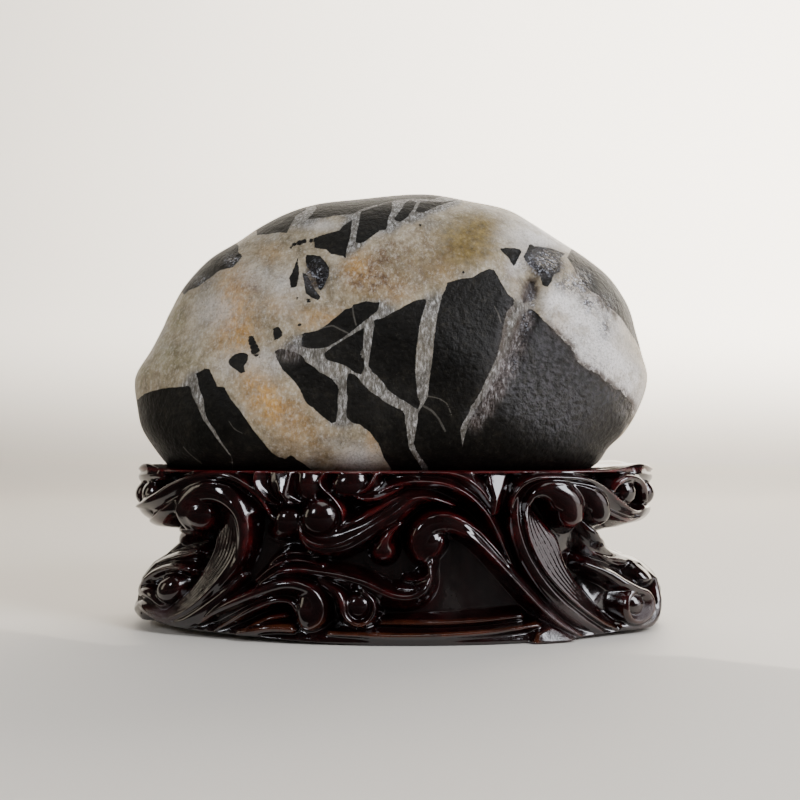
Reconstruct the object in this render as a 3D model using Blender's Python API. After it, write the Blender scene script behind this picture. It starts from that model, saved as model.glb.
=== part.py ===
"""A scholars rock resting in the seat of a carved and lacquered wooden stand.

Metres, +Z up. The front faces -Y and the stand's foot lies on the plane Z = 0. The shapes are laid out
in millimetres: the stone in elevation, the carving on the stand's wall unrolled flat, where u runs
round the wall from the middle of the front towards +X and z is the height.
"""

import bmesh
import bpy
import numpy as np

MM = 0.001

# The stone.
STONE_HALF_DEPTH = 95.0
STONE_CENTRE = (-5.0, 195.0)
STONE_OUTLINE = [
    (-172, 112.5), (-181, 124), (-190.5, 140), (-194.5, 158), (-196.5, 172), (-194.5, 182),
    (-184, 198), (-176, 214), (-170.5, 227), (-160, 246), (-141.5, 264.5), (-120, 278), (-104.5, 288.5),
    (-83, 299), (-59.5, 307), (-35.5, 311), (-6.5, 313.5), (20, 313.5), (46.5, 309), (77, 303),
    (97, 293.5), (118, 280.5), (136.5, 267), (155, 251), (168.5, 232.5), (175, 211.5), (180.5, 193),
    (184, 180), (182, 166.5), (175, 150.5), (166, 137), (155, 126.5), (144.5, 113), (122, 105),
    (60, 102), (-20, 101), (-100, 102), (-150, 105.5),
]
STONE_BULGE = 2.15
STONE_FLAT_BELOW = 1.7
EYE_BACK = 742.0
EYE_HEIGHT = 134.0
STONE_TRIANGLES = 3000

# The stand.
WALL_HALF_LENGTH = 185.0
WALL_HALF_DEPTH = 98.0
WALL_POWER = 2.15
RIM_HEIGHT = 112.5
GROUND_DEPTH = 8.0
FLARE_FROM = 120.0
FLARE_OVER = 65.0
FLARE_HEIGHTS = [0, 10, 20, 35, 46, 52, 60, 68, 72, 85, 112]
FLARE_OUT_LEFT = [7, 9, 7, 3, -5, -14, -22, -18, -4, 8, 5]
FLARE_OUT_RIGHT = [4, 6, 6, 3, -8, -22, -40, -30, -8, 0, -1]
WALL_SLOPE = 2.4
BLEND = 1.6
SEAT_GAP = 0.8
STAND_TRIANGLES = 6200

WALL_STEPS = 480
HEIGHT_STEPS = 128
TOP_SHARE = 0.10


def smooth_path(points, per_leg=8):
    """Catmull-Rom curve through the points, which may have any number of columns."""
    p = np.asarray(points, float)
    ends = np.vstack([2 * p[0] - p[1], p, 2 * p[-1] - p[-2]])
    t = np.linspace(0, 1, per_leg, endpoint=False)[:, None]
    legs = [
        0.5 * (2 * b + (c - a) * t + (2 * a - 5 * b + 4 * c - d) * t**2 + (3 * b - a - 3 * c + d) * t**3)
        for a, b, c, d in zip(ends[:-3], ends[1:-2], ends[2:-1], ends[3:])
    ]
    return np.vstack(legs + [p[-1:]])


def smooth_step(x):
    x = np.clip(x, 0, 1)
    return x * x * (3 - 2 * x)


def dome(u, z, centre, radii):
    """1 at the centre, falling smoothly to 0 at the ellipse with these radii."""
    return smooth_step(1 - np.hypot((u - centre[0]) / radii[0], (z - centre[1]) / radii[1]))


# One side of a ridge: x is 1 on the crest and 0 at the foot.
SIDES = {
    "round": lambda x: np.sqrt(np.maximum(0, 1 - (1 - x) ** 2)),
    "hollow": lambda x: x**1.9,
}


class Ridge:
    """A carved ridge or band along a path (u, z).

    left and right are its half widths as seen along the path, crest its height, drop the fall from
    crest to foot on each side. Each may be a few values, spread evenly along the path.
    """

    def __init__(self, path, left, right, crest, drop=8, side="round"):
        count = len(path)
        columns = [np.asarray(path, float)]
        for value in (left, right, crest):
            value = np.atleast_1d(np.asarray(value, float))
            spread = np.linspace(0, 1, count), np.linspace(0, 1, len(value))
            columns.append(np.interp(*spread, value)[:, None])
        self.rows = smooth_path(np.hstack(columns))
        self.rows[:, 2:4] = np.maximum(self.rows[:, 2:4], 0.4)
        self.drop = drop if isinstance(drop, tuple) else (drop, drop)
        self.side = side if isinstance(side, tuple) else (side, side)

    def reach(self):
        margin = self.rows[:, 2:4].max() + 8
        low, high = self.rows[:, :2].min(0) - margin, self.rows[:, :2].max(0) + margin
        return low[0], high[0], low[1], high[1]

    def level(self, u, z):
        nearest = np.full(u.shape, 1e9)
        half, crest, on_left = (np.zeros_like(u) for _ in range(3))
        for a, b in zip(self.rows[:-1], self.rows[1:]):
            du, dz = b[:2] - a[:2]
            along = np.clip(((u - a[0]) * du + (z - a[1]) * dz) / (du * du + dz * dz + 1e-12), 0, 1)
            off_u, off_z = u - a[0] - along * du, z - a[1] - along * dz
            away = np.hypot(off_u, off_z)
            left = (du * off_z - dz * off_u >= 0).astype(float)
            here = a[2:] + along[:, None] * (b - a)[2:]
            closer = away < nearest
            nearest = np.where(closer, away, nearest)
            half = np.where(closer, np.where(left > 0, here[:, 0], here[:, 1]), half)
            crest = np.where(closer, here[:, 2], crest)
            on_left = np.where(closer, left, on_left)
        x = np.clip(1 - nearest / half, 0, 1)
        shape = np.where(on_left > 0, SIDES[self.side[0]](x), SIDES[self.side[1]](x))
        drop = np.where(on_left > 0, *self.drop)
        return crest - drop * (1 - shape) - WALL_SLOPE * np.maximum(0, nearest - half)


class Ball:
    """A carved ball, standing out to a height."""

    def __init__(self, centre, radius, crest):
        self.centre, self.radius, self.crest = centre, radius, crest

    def reach(self):
        margin = self.radius + 8
        u, z = self.centre
        return u - margin, u + margin, z - margin, z + margin

    def level(self, u, z):
        away = np.hypot(u - self.centre[0], z - self.centre[1])
        cap = np.sqrt(np.maximum(0, self.radius**2 - away**2)) - self.radius
        return self.crest + 0.9 * cap - WALL_SLOPE * np.maximum(0, away - self.radius)


LEFT_WAVE = [
    Ridge(
        [(-155, 5), (-142, 15), (-129, 27), (-118, 38), (-111.5, 48), (-108, 58), (-106.5, 68),
         (-106.5, 79), (-110, 88), (-119, 93), (-131, 93)],
        [12, 17, 21, 22, 18, 12, 8], [5, 6.5, 6.5, 6, 6, 6.5, 7], [-3, 2, 4, 4, 4, 5, 6],
        drop=(11, 9), side=("hollow", "round"),
    ),
    Ball((-139, 85), 14.5, 9),
    Ridge(
        [(-87, 80), (-88, 86), (-92, 93.5), (-98, 100.5), (-107, 106), (-118, 108.5), (-128, 109),
         (-140, 108), (-149, 105.5), (-158, 101.5), (-167, 96), (-176, 90), (-188, 85), (-200, 81)],
        [5, 9, 9, 9, 11, 10, 4], [3, 5, 5, 5, 9, 7, 3], [-1, 3, 5.5, 6, 7, 6, 1],
        drop=(9, 8), side=("hollow", "round"),
    ),
    Ridge(
        [(-150, 97), (-160, 92.5), (-172, 85), (-184, 80), (-194, 77)],
        [6, 7, 7, 6, 4], [5, 6, 6, 5, 4], [2, 4, 5, 4, 1], side=("round", "hollow"),
    ),
]
LEFT_FOOT = [
    Ridge(
        [(-147, 70), (-155, 64), (-166, 57), (-180, 48), (-191, 39), (-199, 29), (-204, 18), (-206, 9)],
        [5, 7, 7, 5], 6, [-2, 4, 5, 3, 0],
    ),
    Ridge(
        [(-150, 62), (-158, 55), (-168, 49), (-180, 40), (-187, 30)],
        4, [4, 5, 4], [0, 5, 3], drop=6, side=("round", "hollow"),
    ),
    Ball((-169, 34), 12, 9),
    Ridge([(-160, 8), (-172, 12), (-184, 18), (-194, 20), (-203, 12)], 6, 6, [0, 5, 3]),
]
HANGING_LOBES = [
    Ridge(
        [(-92, 113), (-94, 106), (-93.5, 101), (-90, 96.5), (-84, 89), (-76, 87)],
        4, 3, [3, 4, 1], drop=6, side=("hollow", "round"),
    ),
    Ridge([(-79, 114), (-77, 107), (-75, 101), (-71, 94)], [6, 7, 2.5], [6, 7, 2.5], [5, 6, 2]),
    Ridge([(-60, 114), (-60, 108), (-61, 102), (-63, 97)], [8, 8, 3], [8, 8, 3], [4, 6, 3]),
    Ridge([(-36, 113), (-36, 107), (-36, 103)], [7, 9], [7, 9], [4, 7], drop=9),
    Ridge([(-46, 113), (-48.5, 107), (-47.5, 101), (-44, 95)], 2.2, 2.2, [5, 6, 3], drop=6),
]
PEARLS = [
    Ball((-74, 81), 10, 5),
    Ball((-51, 83), 11, 9),
    Ridge([(-47, 99), (-40, 93), (-36, 86), (-36, 79), (-40, 73), (-48, 69)], 2.4, 2.6, 4, drop=6),
]
LONG_SCROLL = [
    Ridge(
        [(-66, 74), (-63, 69), (-58, 65), (-50, 63.5), (-42, 64.5), (-34, 67.5), (-27, 71), (-20, 76),
         (-13, 81), (-6, 85.5), (0, 90.5), (6, 93.5), (13, 95), (21, 94.5), (28, 92), (34, 90)],
        [4, 10, 13, 13, 9, 2], [3, 5, 5, 7, 6, 2], [2, 6, 6, 6, 5, 2],
        drop=(8, 9), side=("hollow", "round"),
    ),
    Ridge([(-30, 97), (-23, 95), (-16, 98), (-13, 104), (-16, 110)], 4, 4, [3, 6, 4]),
]
FALLING_WAVES = [
    Ridge(
        [(-14, 97), (-4, 101), (8, 103), (20, 103.5), (32, 102), (42, 98), (50, 91.5), (56, 84),
         (61, 76), (65, 68), (69, 60), (73, 51)],
        [4, 7, 7, 6, 2], [4, 8, 8, 6, 2], [2, 7, 7.5, 6.5, 2], drop=(8, 10), side=("hollow", "round"),
    ),
    Ridge(
        [(12, 109), (25, 109.5), (36, 108), (45, 105), (52, 100), (57.5, 93.5), (61.5, 86), (66, 76)],
        2.2, 3, [4, 7.5, 4], drop=(8, 5), side=("round", "hollow"),
    ),
    Ridge(
        [(12, 60), (10, 68), (12, 75), (18, 80), (26, 81.5), (33, 80), (41, 76.5), (48, 70.5),
         (55, 63), (62, 55), (69, 46.5), (76, 38.5), (83, 31), (90, 24.5), (98, 18), (108, 11), (120, 3)],
        [3, 5, 5, 5, 4], [9, 13, 8, 6, 5], [5, 9, 7.5, 6, 2], drop=(9, 11), side=("round", "hollow"),
    ),
    Ridge([(14, 58), (15, 66), (20, 73), (28, 75), (36, 73)], 9, 7, [4, 6.5, 4], drop=9),
    Ball((16, 61), 8, 7),
    Ridge([(2, 76), (-5, 71), (-10, 64), (-11, 58)], [4, 6.5], [4, 6], [2, 7], drop=9),
]
LOW_WAVES = [
    Ridge(
        [(-100, 32), (-93, 38), (-86, 45), (-79, 50.5), (-71, 53), (-62, 52), (-52, 48.5), (-40, 46),
         (-30, 43), (-20, 38.5), (-12, 34.5), (-4, 31.5), (4, 31), (11, 33), (17, 38), (19.5, 45)],
        [3, 8, 5, 5, 3], [2, 6, 6, 6, 3], [1, 6, 6, 6, 4], drop=(8, 9), side=("hollow", "round"),
    ),
    Ridge(
        [(-91, 42), (-84, 49), (-78, 54.5), (-71, 58), (-62, 58), (-53, 54.5)],
        3.5, 4.5, [2, 5.5, 2], drop=(8, 5), side=("round", "hollow"),
    ),
    Ridge(
        [(-93, 37), (-86, 41.5), (-79, 45), (-70, 47), (-60, 46.5), (-50, 43)],
        3, 3.5, [2, 5, 2], drop=(5, 7), side=("hollow", "round"),
    ),
    Ridge([(-53, 42), (-44, 38), (-37, 31), (-35, 23)], [4, 3], [4, 3], [3, 5, 4]),
    Ball((-27, 24), 9.5, 7),
    Ridge([(-35, 23), (-33, 15), (-26, 12), (-19, 15), (-16, 22), (-19, 30)], 2, 2, 4, drop=6),
    Ridge(
        [(-138, 10), (-130, 16), (-118, 22), (-107, 27.5), (-97, 32.5), (-87, 36.5), (-77, 38.5),
         (-67, 39), (-58, 37), (-52, 32), (-50, 25), (-52, 18)],
        [3, 5, 5, 3], [5, 9, 9, 5], [0, 6, 8, 5], drop=(8, 10), side=("round", "hollow"),
    ),
    Ball((-58, 21), 10.5, 9),
    Ridge([(-108, 7), (-98, 12), (-88, 15.5), (-77, 17.5), (-70, 19)], 3, 4, [1, 4, 2], drop=7),
]
RIGHT_WAVE = [
    Ridge(
        [(72, 82), (71.5, 90), (73.5, 97), (79, 103), (87, 107), (96, 108), (106, 108), (116, 107.5),
         (126, 106), (134, 103), (142, 98), (150, 92), (158, 86.5), (166, 83), (175, 82.5), (183, 86)],
        [3, 4, 5, 6, 4], [3, 7, 8, 5, 3], [1, 6.5, 7, 6.5, 3], side=("round", "hollow"),
    ),
    Ridge(
        [(79, 96), (81, 86), (81.5, 78), (83, 70), (86, 62), (90, 54.5), (95, 47), (101, 40),
         (107, 33.5), (114, 27), (121, 21), (129, 15.5), (138, 10), (148, 4)],
        [4, 18, 21, 18, 13, 6], [3, 4, 4, 3], [3, 6, 5, 5, 1], drop=(9, 8), side=("hollow", "round"),
    ),
    Ridge(
        [(108, 68), (110, 58), (112, 48), (117, 40), (124, 33), (131, 27), (140, 18), (150, 11), (158, 6)],
        2.2, 4, [1, 3, 2], drop=(10, 4), side=("round", "hollow"),
    ),
    Ridge(
        [(84, 98), (93, 100), (103, 98), (110, 92.5), (114.5, 86), (115, 79)],
        [5, 8, 9, 8], [4, 6, 7], [4, 8, 9.5], drop=10,
    ),
    Ridge([(110, 99), (120, 96), (130, 91), (137, 85), (140, 79)], [5, 7, 7], [4, 6, 6], [3, 7, 8], drop=10),
    Ridge(
        [(128, 98), (140, 90), (152, 82), (163, 78), (173, 79), (181, 84)],
        [4, 5, 4], [5, 7, 4], [2, 5, 3],
    ),
]
RIGHT_FOOT = [
    Ridge(
        [(128, 72), (139, 63), (150, 56), (162, 49), (174, 42), (183, 33)],
        [5, 7, 5], [6, 7, 5], [-2, 5, 4, 1],
    ),
    Ball((168, 21), 9.5, 7),
    Ridge(
        [(152, 18), (156, 29), (166, 34), (177, 31), (183, 22), (181, 12), (172, 6), (160, 5)],
        3, 3, [3, 5, 3, 3], drop=7,
    ),
    Ball((165, 98), 9, 7),
]
BASE_LINES = [
    Ridge(
        [(-60, 6.5), (-42, 7), (-15, 5.8), (8, 5.5), (30, 5.7), (50, 6.8), (62, 8), (75, 9.8), (92, 11.5)],
        2.4, 3.5, [1, 3.5, 3.5, 2], drop=3,
    ),
    Ridge([(-16, 15), (-2, 14), (12, 13.6), (28, 14), (45, 15.3), (62, 16.6), (80, 18)],
          2.6, 4, [-2, 1.5, 0], drop=3),
]


def end_curls(side):
    """Bands that run round one end of the stand, from the front onto the back."""
    return [
        Ridge([(side * 176, 108), (side * 205, 106), (side * 240, 105)], 7, 7, [3, 1, 0]),
        Ridge([(side * 181, 86), (side * 205, 82), (side * 240, 81)], 8, 8, [3, 1, 0]),
        Ridge([(side * 178, 36), (side * 205, 38), (side * 240, 40)], 9, 9, [3, 0, -1]),
        Ridge([(side * 178, 10), (side * 205, 13), (side * 240, 14)], 8, 8, [3, 1, 0]),
        Ball((side * 206, 95), 9, 2),
        Ball((side * 213, 26), 9, 1),
    ]


CARVING = (
    LEFT_WAVE + LEFT_FOOT + HANGING_LOBES + PEARLS + LONG_SCROLL + FALLING_WAVES + LOW_WAVES
    + RIGHT_WAVE + RIGHT_FOOT + BASE_LINES + end_curls(-1) + end_curls(1)
)
# Hollows cut deeper than the ground: centre, radii, depth.
HOLLOWS = [
    ((-143, 52), (20, 26), 12),
    ((131, 48), (26, 32), 12),
    ((50, 42), (34, 34), 6),
    ((50, 82), (15, 12), 5),
    ((-80, 18), (18, 13), 4),
]
# Places where the rim swells over an end curl: u, half length, height.
RIM_SWELLS = [(-190, 26, 4.0), (180, 34, 4.0)]
# How far the lower edge lifts off the floor along the wall.
LIFT_AT = [-230, -175, -140, -100, -60, 0, 60, 110, 150, 230]
LIFT = [8, 7, 4.5, 4, 2, 0, 0, 1.5, 3, 4]


def wall_table():
    """Points round the wall and the distance to each along it, from the middle of the front."""
    turn = np.linspace(0, 2 * np.pi, 7201)
    x = WALL_HALF_LENGTH * np.sign(np.sin(turn)) * np.abs(np.sin(turn)) ** (2 / WALL_POWER)
    y = -WALL_HALF_DEPTH * np.sign(np.cos(turn)) * np.abs(np.cos(turn)) ** (2 / WALL_POWER)
    return x, y, np.concatenate([[0], np.cumsum(np.hypot(np.diff(x), np.diff(y)))])


WALL_X, WALL_Y, WALL_RUN = wall_table()
GIRTH = WALL_RUN[-1]


def wall_point(u):
    u = np.mod(u, GIRTH)
    return np.interp(u, WALL_RUN, WALL_X), np.interp(u, WALL_RUN, WALL_Y)


def wall_normal(u):
    x0, y0 = wall_point(u - 3)
    x1, y1 = wall_point(u + 3)
    length = np.hypot(x1 - x0, y1 - y0)
    return (y1 - y0) / length, (x0 - x1) / length


def folded(u):
    """The place on the front whose carving is repeated, mirrored, at u on the back."""
    u = np.mod(u + GIRTH / 4, GIRTH) - GIRTH / 4
    return np.where(u > GIRTH / 4, GIRTH / 2 - u, u)


def carving(u, z):
    """How far the carved surface stands out from the wall at (u, z)."""
    level = np.full(u.shape, -GROUND_DEPTH)
    for centre, radii, depth in HOLLOWS:
        level = level - depth * dome(u, z, centre, radii)
    level = np.maximum(level, 0.5 - 0.35 * np.maximum(0, z - 3))
    level = np.maximum(level, 1.5 - 3 * np.maximum(0, RIM_HEIGHT - 1.5 - z))
    for form in CARVING:
        low_u, high_u, low_z, high_z = form.reach()
        near = (u > low_u) & (u < high_u) & (z > low_z) & (z < high_z)
        if not near.any():
            continue
        raised = form.level(u[near], z[near])
        share = np.clip(0.5 + 0.5 * (raised - level[near]) / BLEND, 0, 1)
        level[near] += (raised - level[near]) * share + 0.5 * BLEND * share * (1 - share)
    return level


def flare(x, z):
    """The waist cut into both ends, and the feet and the leaves that reach out below and above it."""
    left, right = np.interp(z, FLARE_HEIGHTS, FLARE_OUT_LEFT), np.interp(z, FLARE_HEIGHTS, FLARE_OUT_RIGHT)
    return smooth_step((np.abs(x) - FLARE_FROM) / FLARE_OVER) * np.where(x < 0, left, right)


def rim_height(u):
    return RIM_HEIGHT + sum(high * smooth_step(1 - np.abs(u - at) / half) for at, half, high in RIM_SWELLS)


def stand_points(directions):
    """Moves a unit sphere's points: the top cap to the seat's level, the belt to the wall, the rest below."""
    turn = np.arctan2(directions[:, 0], -directions[:, 1])
    down = np.arccos(np.clip(directions[:, 2], -1, 1)) / np.pi
    u = turn / (2 * np.pi) * GIRTH
    front_u = folded(u)
    share = np.clip((down - TOP_SHARE) / (1 - 2 * TOP_SHARE), 0, 1)
    top, foot = rim_height(front_u), np.interp(front_u, LIFT_AT, LIFT)
    z = top + (foot - top) * share
    out = carving(front_u, z)
    x, y = wall_point(u)
    nx, ny = wall_normal(u)
    out = out + flare(x, z)
    x, y = x + nx * out, y + ny * out
    inward = np.where(down < 0.5, down / TOP_SHARE, (1 - down) / TOP_SHARE)
    inward = np.clip(inward, 0, 1)
    x, y = x * inward, y * inward
    edge = smooth_step((inward - 0.75) / 0.25)
    z = np.where(down < TOP_SHARE, RIM_HEIGHT + (z - RIM_HEIGHT) * edge, z)
    z = np.where(down > 1 - TOP_SHARE, -1 + (z + 1) * edge, z)
    return np.column_stack([x, y, z])


def section_power(angle):
    """The power of the stone's superellipse section in each direction of its elevation."""
    return STONE_BULGE + STONE_FLAT_BELOW * smooth_step(0.2 - np.sin(angle))


def seen_growth(angle):
    """How much larger the stone looks to the eye than its middle section, because its sides come forward."""
    forward = np.linspace(0, 0.99, 100)
    power = section_power(angle)[:, None]
    return np.max((1 - forward**power) ** (1 / power) / (1 - forward * STONE_HALF_DEPTH / EYE_BACK), axis=1)


def outline_radius(angle):
    """The stone's elevation, from the outline that the eye sees, as a distance from its centre."""
    seen = smooth_path(STONE_OUTLINE + STONE_OUTLINE[:1])
    turn = np.arctan2(seen[:, 1] - STONE_CENTRE[1], seen[:, 0] - STONE_CENTRE[0])
    x, z = ((seen - (0, EYE_HEIGHT)) / seen_growth(turn)[:, None] + (0, EYE_HEIGHT) - STONE_CENTRE).T
    turn = np.arctan2(z, x)
    order = np.argsort(turn)
    return np.interp(angle, turn[order], np.hypot(x, z)[order], period=2 * np.pi)


# Valleys and swellings of the front, in the plane y = 0 as an eye straight in front sees them.
STONE_VALLEYS = [
    ([(86, 268), (94, 256), (100, 243), (97, 228), (90, 212), (80, 194), (68, 172), (56, 155)], 9, 4.5),
    ([(-72, 262), (-64, 252), (-56, 240)], 9, 3.0),
]
STONE_SWELLS = [
    ((112, 252), (22, 26), 2.5),
    ((150, 215), (26, 55), 3.0),
    ((118, 165), (45, 45), 3.0),
    ((30, 205), (60, 45), 2.0),
    ((-120, 150), (60, 45), 2.0),
    ((-60, 270), (60, 30), -2.0),
    ((-110, 215), (40, 30), 1.5),
]


def stone_relief(x, y, z):
    """How far the surface stands out of the plain boulder."""
    scale = EYE_BACK / (EYE_BACK + y)
    across, up = x * scale, EYE_HEIGHT + (z - EYE_HEIGHT) * scale
    facing = smooth_step((20 - y) / 60)
    relief = np.zeros_like(x)
    for path, half, deep in STONE_VALLEYS:
        curve = smooth_path(path)
        away = np.min(np.hypot(across[:, None] - curve[:, 0], up[:, None] - curve[:, 1]), axis=1)
        relief -= deep * facing * smooth_step(1 - away / half)
    for centre, radii, high in STONE_SWELLS:
        relief += high * facing * dome(across, up, centre, radii)
    rolling = np.sin(x / 23 + 1.3 * np.sin(z / 31)) * np.sin(y / 27 + z / 37 + 0.8)
    rolling += 0.6 * np.sin(x / 13 + y / 17 + 2.1) * np.sin(z / 15 - y / 21)
    return relief + 1.1 * rolling * smooth_step((z - 112) / 40)


def stone_points(directions):
    """Moves a unit sphere's points onto the boulder.

    In elevation it is the outline. Across, each section is a superellipse, squarer underneath.
    """
    nx, ny, nz = directions.T
    flat = np.hypot(nx, nz)
    angle = np.arctan2(nz, nx)
    power = section_power(angle)
    reach = outline_radius(angle) * flat ** (2 / power)
    y = STONE_HALF_DEPTH * np.sign(ny) * np.abs(ny) ** (2 / power)
    x = STONE_CENTRE[0] + reach * np.cos(angle)
    z = STONE_CENTRE[1] + reach * np.sin(angle)
    out = stone_relief(x, y, z)
    return np.column_stack([x + nx * out, y + ny * out, z + nz * out])


def material(name, colour, roughness, metallic=0.0):
    made = bpy.data.materials.new(name)
    made.use_nodes = True
    made.diffuse_color = (*colour, 1)
    shader = made.node_tree.nodes["Principled BSDF"]
    shader.inputs["Base Color"].default_value = (*colour, 1)
    shader.inputs["Roughness"].default_value = roughness
    shader.inputs["Metallic"].default_value = metallic
    return made


def collection(name):
    made = bpy.data.collections.new(name)
    bpy.context.scene.collection.children.link(made)
    return made


def sphere_mesh(name, points_of, steps=None):
    """A sphere, an even one without steps, whose points are moved by points_of."""
    shell = bmesh.new()
    if steps:
        bmesh.ops.create_uvsphere(shell, u_segments=steps[0], v_segments=steps[1], radius=1)
    else:
        bmesh.ops.create_icosphere(shell, subdivisions=6, radius=1)
    directions = np.array([vert.co for vert in shell.verts])
    directions /= np.linalg.norm(directions, axis=1)[:, None]
    for vert, place in zip(shell.verts, points_of(directions) * MM):
        vert.co = place
    mesh = bpy.data.meshes.new(name)
    shell.to_mesh(mesh)
    shell.free()
    return mesh


def add(name, mesh, group, look=None):
    made = bpy.data.objects.new(name, mesh)
    group.objects.link(made)
    if look:
        mesh.materials.append(look)
    return made


def decimate(target, triangles):
    modifier = target.modifiers.new("facets", "DECIMATE")
    modifier.ratio = triangles / len(target.data.polygons)
    modifier.use_collapse_triangulate = True


def cut(target, cutter, name):
    modifier = target.modifiers.new(name, "BOOLEAN")
    modifier.operation = "DIFFERENCE"
    modifier.solver = "EXACT"
    modifier.object = cutter


def hide_cutter(cutter):
    cutter.hide_render = True
    cutter.display_type = "WIRE"


def stone(parts, cutters):
    """The boulder, and a slightly larger copy that cuts its seat."""
    look = material("dark rock", (0.06, 0.055, 0.052), 0.5)
    rock = add("stone", sphere_mesh("stone", stone_points), parts, look)
    decimate(rock, STONE_TRIANGLES)
    seat = add("seat cutter", rock.data, cutters)
    decimate(seat, STONE_TRIANGLES)
    gap = seat.modifiers.new("gap", "DISPLACE")
    gap.strength = SEAT_GAP * MM
    gap.mid_level = 0
    hide_cutter(seat)
    return seat


def floor_cutter(cutters):
    """A slab whose top is the floor, which trims the foot flat."""
    slab = bmesh.new()
    bmesh.ops.create_cube(slab, size=1)
    bmesh.ops.scale(slab, vec=(0.6, 0.4, 0.02), verts=slab.verts)
    bmesh.ops.translate(slab, vec=(0, 0, -0.01), verts=slab.verts)
    mesh = bpy.data.meshes.new("floor cutter")
    slab.to_mesh(mesh)
    slab.free()
    floor = add("floor cutter", mesh, cutters)
    hide_cutter(floor)
    return floor


def carved_stand(parts, cutters, seat):
    """The stand, carved all round, with the stone's seat sunk in its top."""
    lacquer = material("dark red lacquer", (0.035, 0.008, 0.006), 0.2)
    mesh = sphere_mesh("carved_stand", stand_points, (WALL_STEPS, HEIGHT_STEPS))
    stand = add("carved_stand", mesh, parts, lacquer)
    modifier = stand.modifiers.new("triangles", "TRIANGULATE")
    modifier.quad_method = "SHORTEST_DIAGONAL"
    facets = stand.modifiers.new("facets", "DECIMATE")
    facets.ratio = STAND_TRIANGLES / (2 * WALL_STEPS * (HEIGHT_STEPS - 1))
    cut(stand, seat, "seat")
    cut(stand, floor_cutter(cutters), "flat foot")


def main():
    for old in list(bpy.data.objects):
        bpy.data.objects.remove(old, do_unlink=True)
    parts = collection("scholars rock")
    cutters = collection("cutters")
    cutters.hide_render = True
    carved_stand(parts, cutters, stone(parts, cutters))


main()
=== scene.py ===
"""The looks of a scholars rock in the seat of its carved and lacquered wooden stand.

Numbers are millimetres, and MM turns them into Blender's metres. +Z is up and the front faces -Y.
The stone's markings are laid out in elevation, as an eye straight in front of it sees them on the plane
y = 0. The stand's carving is laid out on its wall unrolled flat, where u runs round the wall from the
middle of the front towards +X and z is the height.
"""

import bpy
import numpy as np
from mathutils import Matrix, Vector


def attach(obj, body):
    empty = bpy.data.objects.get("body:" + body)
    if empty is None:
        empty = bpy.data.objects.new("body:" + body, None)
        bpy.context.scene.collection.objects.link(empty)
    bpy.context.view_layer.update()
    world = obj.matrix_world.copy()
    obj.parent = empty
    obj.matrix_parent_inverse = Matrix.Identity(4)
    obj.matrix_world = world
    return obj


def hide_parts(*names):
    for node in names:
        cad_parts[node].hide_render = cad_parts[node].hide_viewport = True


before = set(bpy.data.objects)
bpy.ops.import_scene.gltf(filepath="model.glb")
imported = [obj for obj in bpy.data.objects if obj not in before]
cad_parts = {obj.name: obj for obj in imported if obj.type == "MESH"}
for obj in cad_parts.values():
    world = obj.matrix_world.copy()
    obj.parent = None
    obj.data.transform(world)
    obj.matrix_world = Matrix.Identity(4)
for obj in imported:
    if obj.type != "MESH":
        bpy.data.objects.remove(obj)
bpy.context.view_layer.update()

MM = 0.001
# How much coarser the grids are while things are being tried.
COARSE = 1

# The eye that the elevation belongs to, and the camera that stands there.
EYE_BACK = 742.0
EYE_HEIGHT = 134.0
LENS_MM = 45.0
FRAME_RISE = 0.0475

# The stone.
STONE_HALF_DEPTH = 95.0
STONE_CENTRE = (-5.0, 195.0)
STONE_OUTLINE = [
    (-172, 112.5), (-181, 124), (-190.5, 140), (-194.5, 158), (-196.5, 172), (-194.5, 182), (-184, 198),
    (-176, 214), (-170.5, 227), (-160, 246), (-141.5, 264.5), (-120, 278), (-104.5, 288.5), (-83, 299),
    (-59.5, 307), (-35.5, 311), (-6.5, 313.5), (20, 313.5), (46.5, 309), (77, 303), (97, 293.5),
    (118, 280.5), (136.5, 267), (155, 251), (168.5, 232.5), (175, 211.5), (180.5, 193), (184, 180),
    (182, 166.5), (175, 150.5), (166, 137), (155, 126.5), (144.5, 113), (122, 105), (60, 102), (-20, 101),
    (-100, 102), (-150, 105.5),
]
# The power of its superellipse section, what is added underneath, and where underneath starts.
STONE_BULGE = 2.15
STONE_FLAT_BELOW = 1.7
STONE_FLAT_FROM = 0.2
# Its own relief is on the front, and its rolling surface starts above the seat.
FRONT_TO = 20
FRONT_OVER = 60
ROLLING = 1.1
ROLLING_ABOVE = 112
ROLLING_OVER = 40
# Where the search for its lower surface starts, its steps, and the narrowest section it tells from none.
BELOW_STONE = 90.0
HALVINGS = 26
NARROWEST = 1e-9
FAR_ABOVE = 1e3
# The grid's rings from end to end and points round each, and how they crowd to the front.
STONE_RINGS = 340 // COARSE
STONE_ROUND = 282 // COARSE
RINGS_CROWDED = 0.25
ROUND_CROWDED = 0.55
CROWDED_AT = 25

# The stand's wall in plan, a superellipse, and its rim.
WALL_HALF_LENGTH = 185.0
WALL_HALF_DEPTH = 98.0
WALL_POWER = 2.15
WALL_SAMPLES = 7201
NORMAL_REACH = 3
RIM_HEIGHT = 112.5
RIM_ROUNDING = 1.2
# The ground between the carved forms, the foot that slopes up to it and the lip under the rim.
GROUND_DEPTH = 11.0
FOOT_CREST = 0.5
FOOT_HEIGHT = 3
FOOT_SLOPE = 0.9
LIP_CREST = 1.5
LIP_DEPTH = 1.5
LIP_SLOPE = 3
# How far both ends reach out beyond the wall at each height.
FLARE_FROM = 120.0
FLARE_OVER = 65.0
FLARE_HEIGHTS = [0, 10, 20, 35, 46, 52, 60, 68, 72, 85, 112]
FLARE_OUT_LEFT = [7, 9, 7, 3, -5, -14, -22, -18, -4, 8, 5]
FLARE_OUT_RIGHT = [4, 6, 6, 3, -8, -22, -40, -30, -8, 0, -1]
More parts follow.
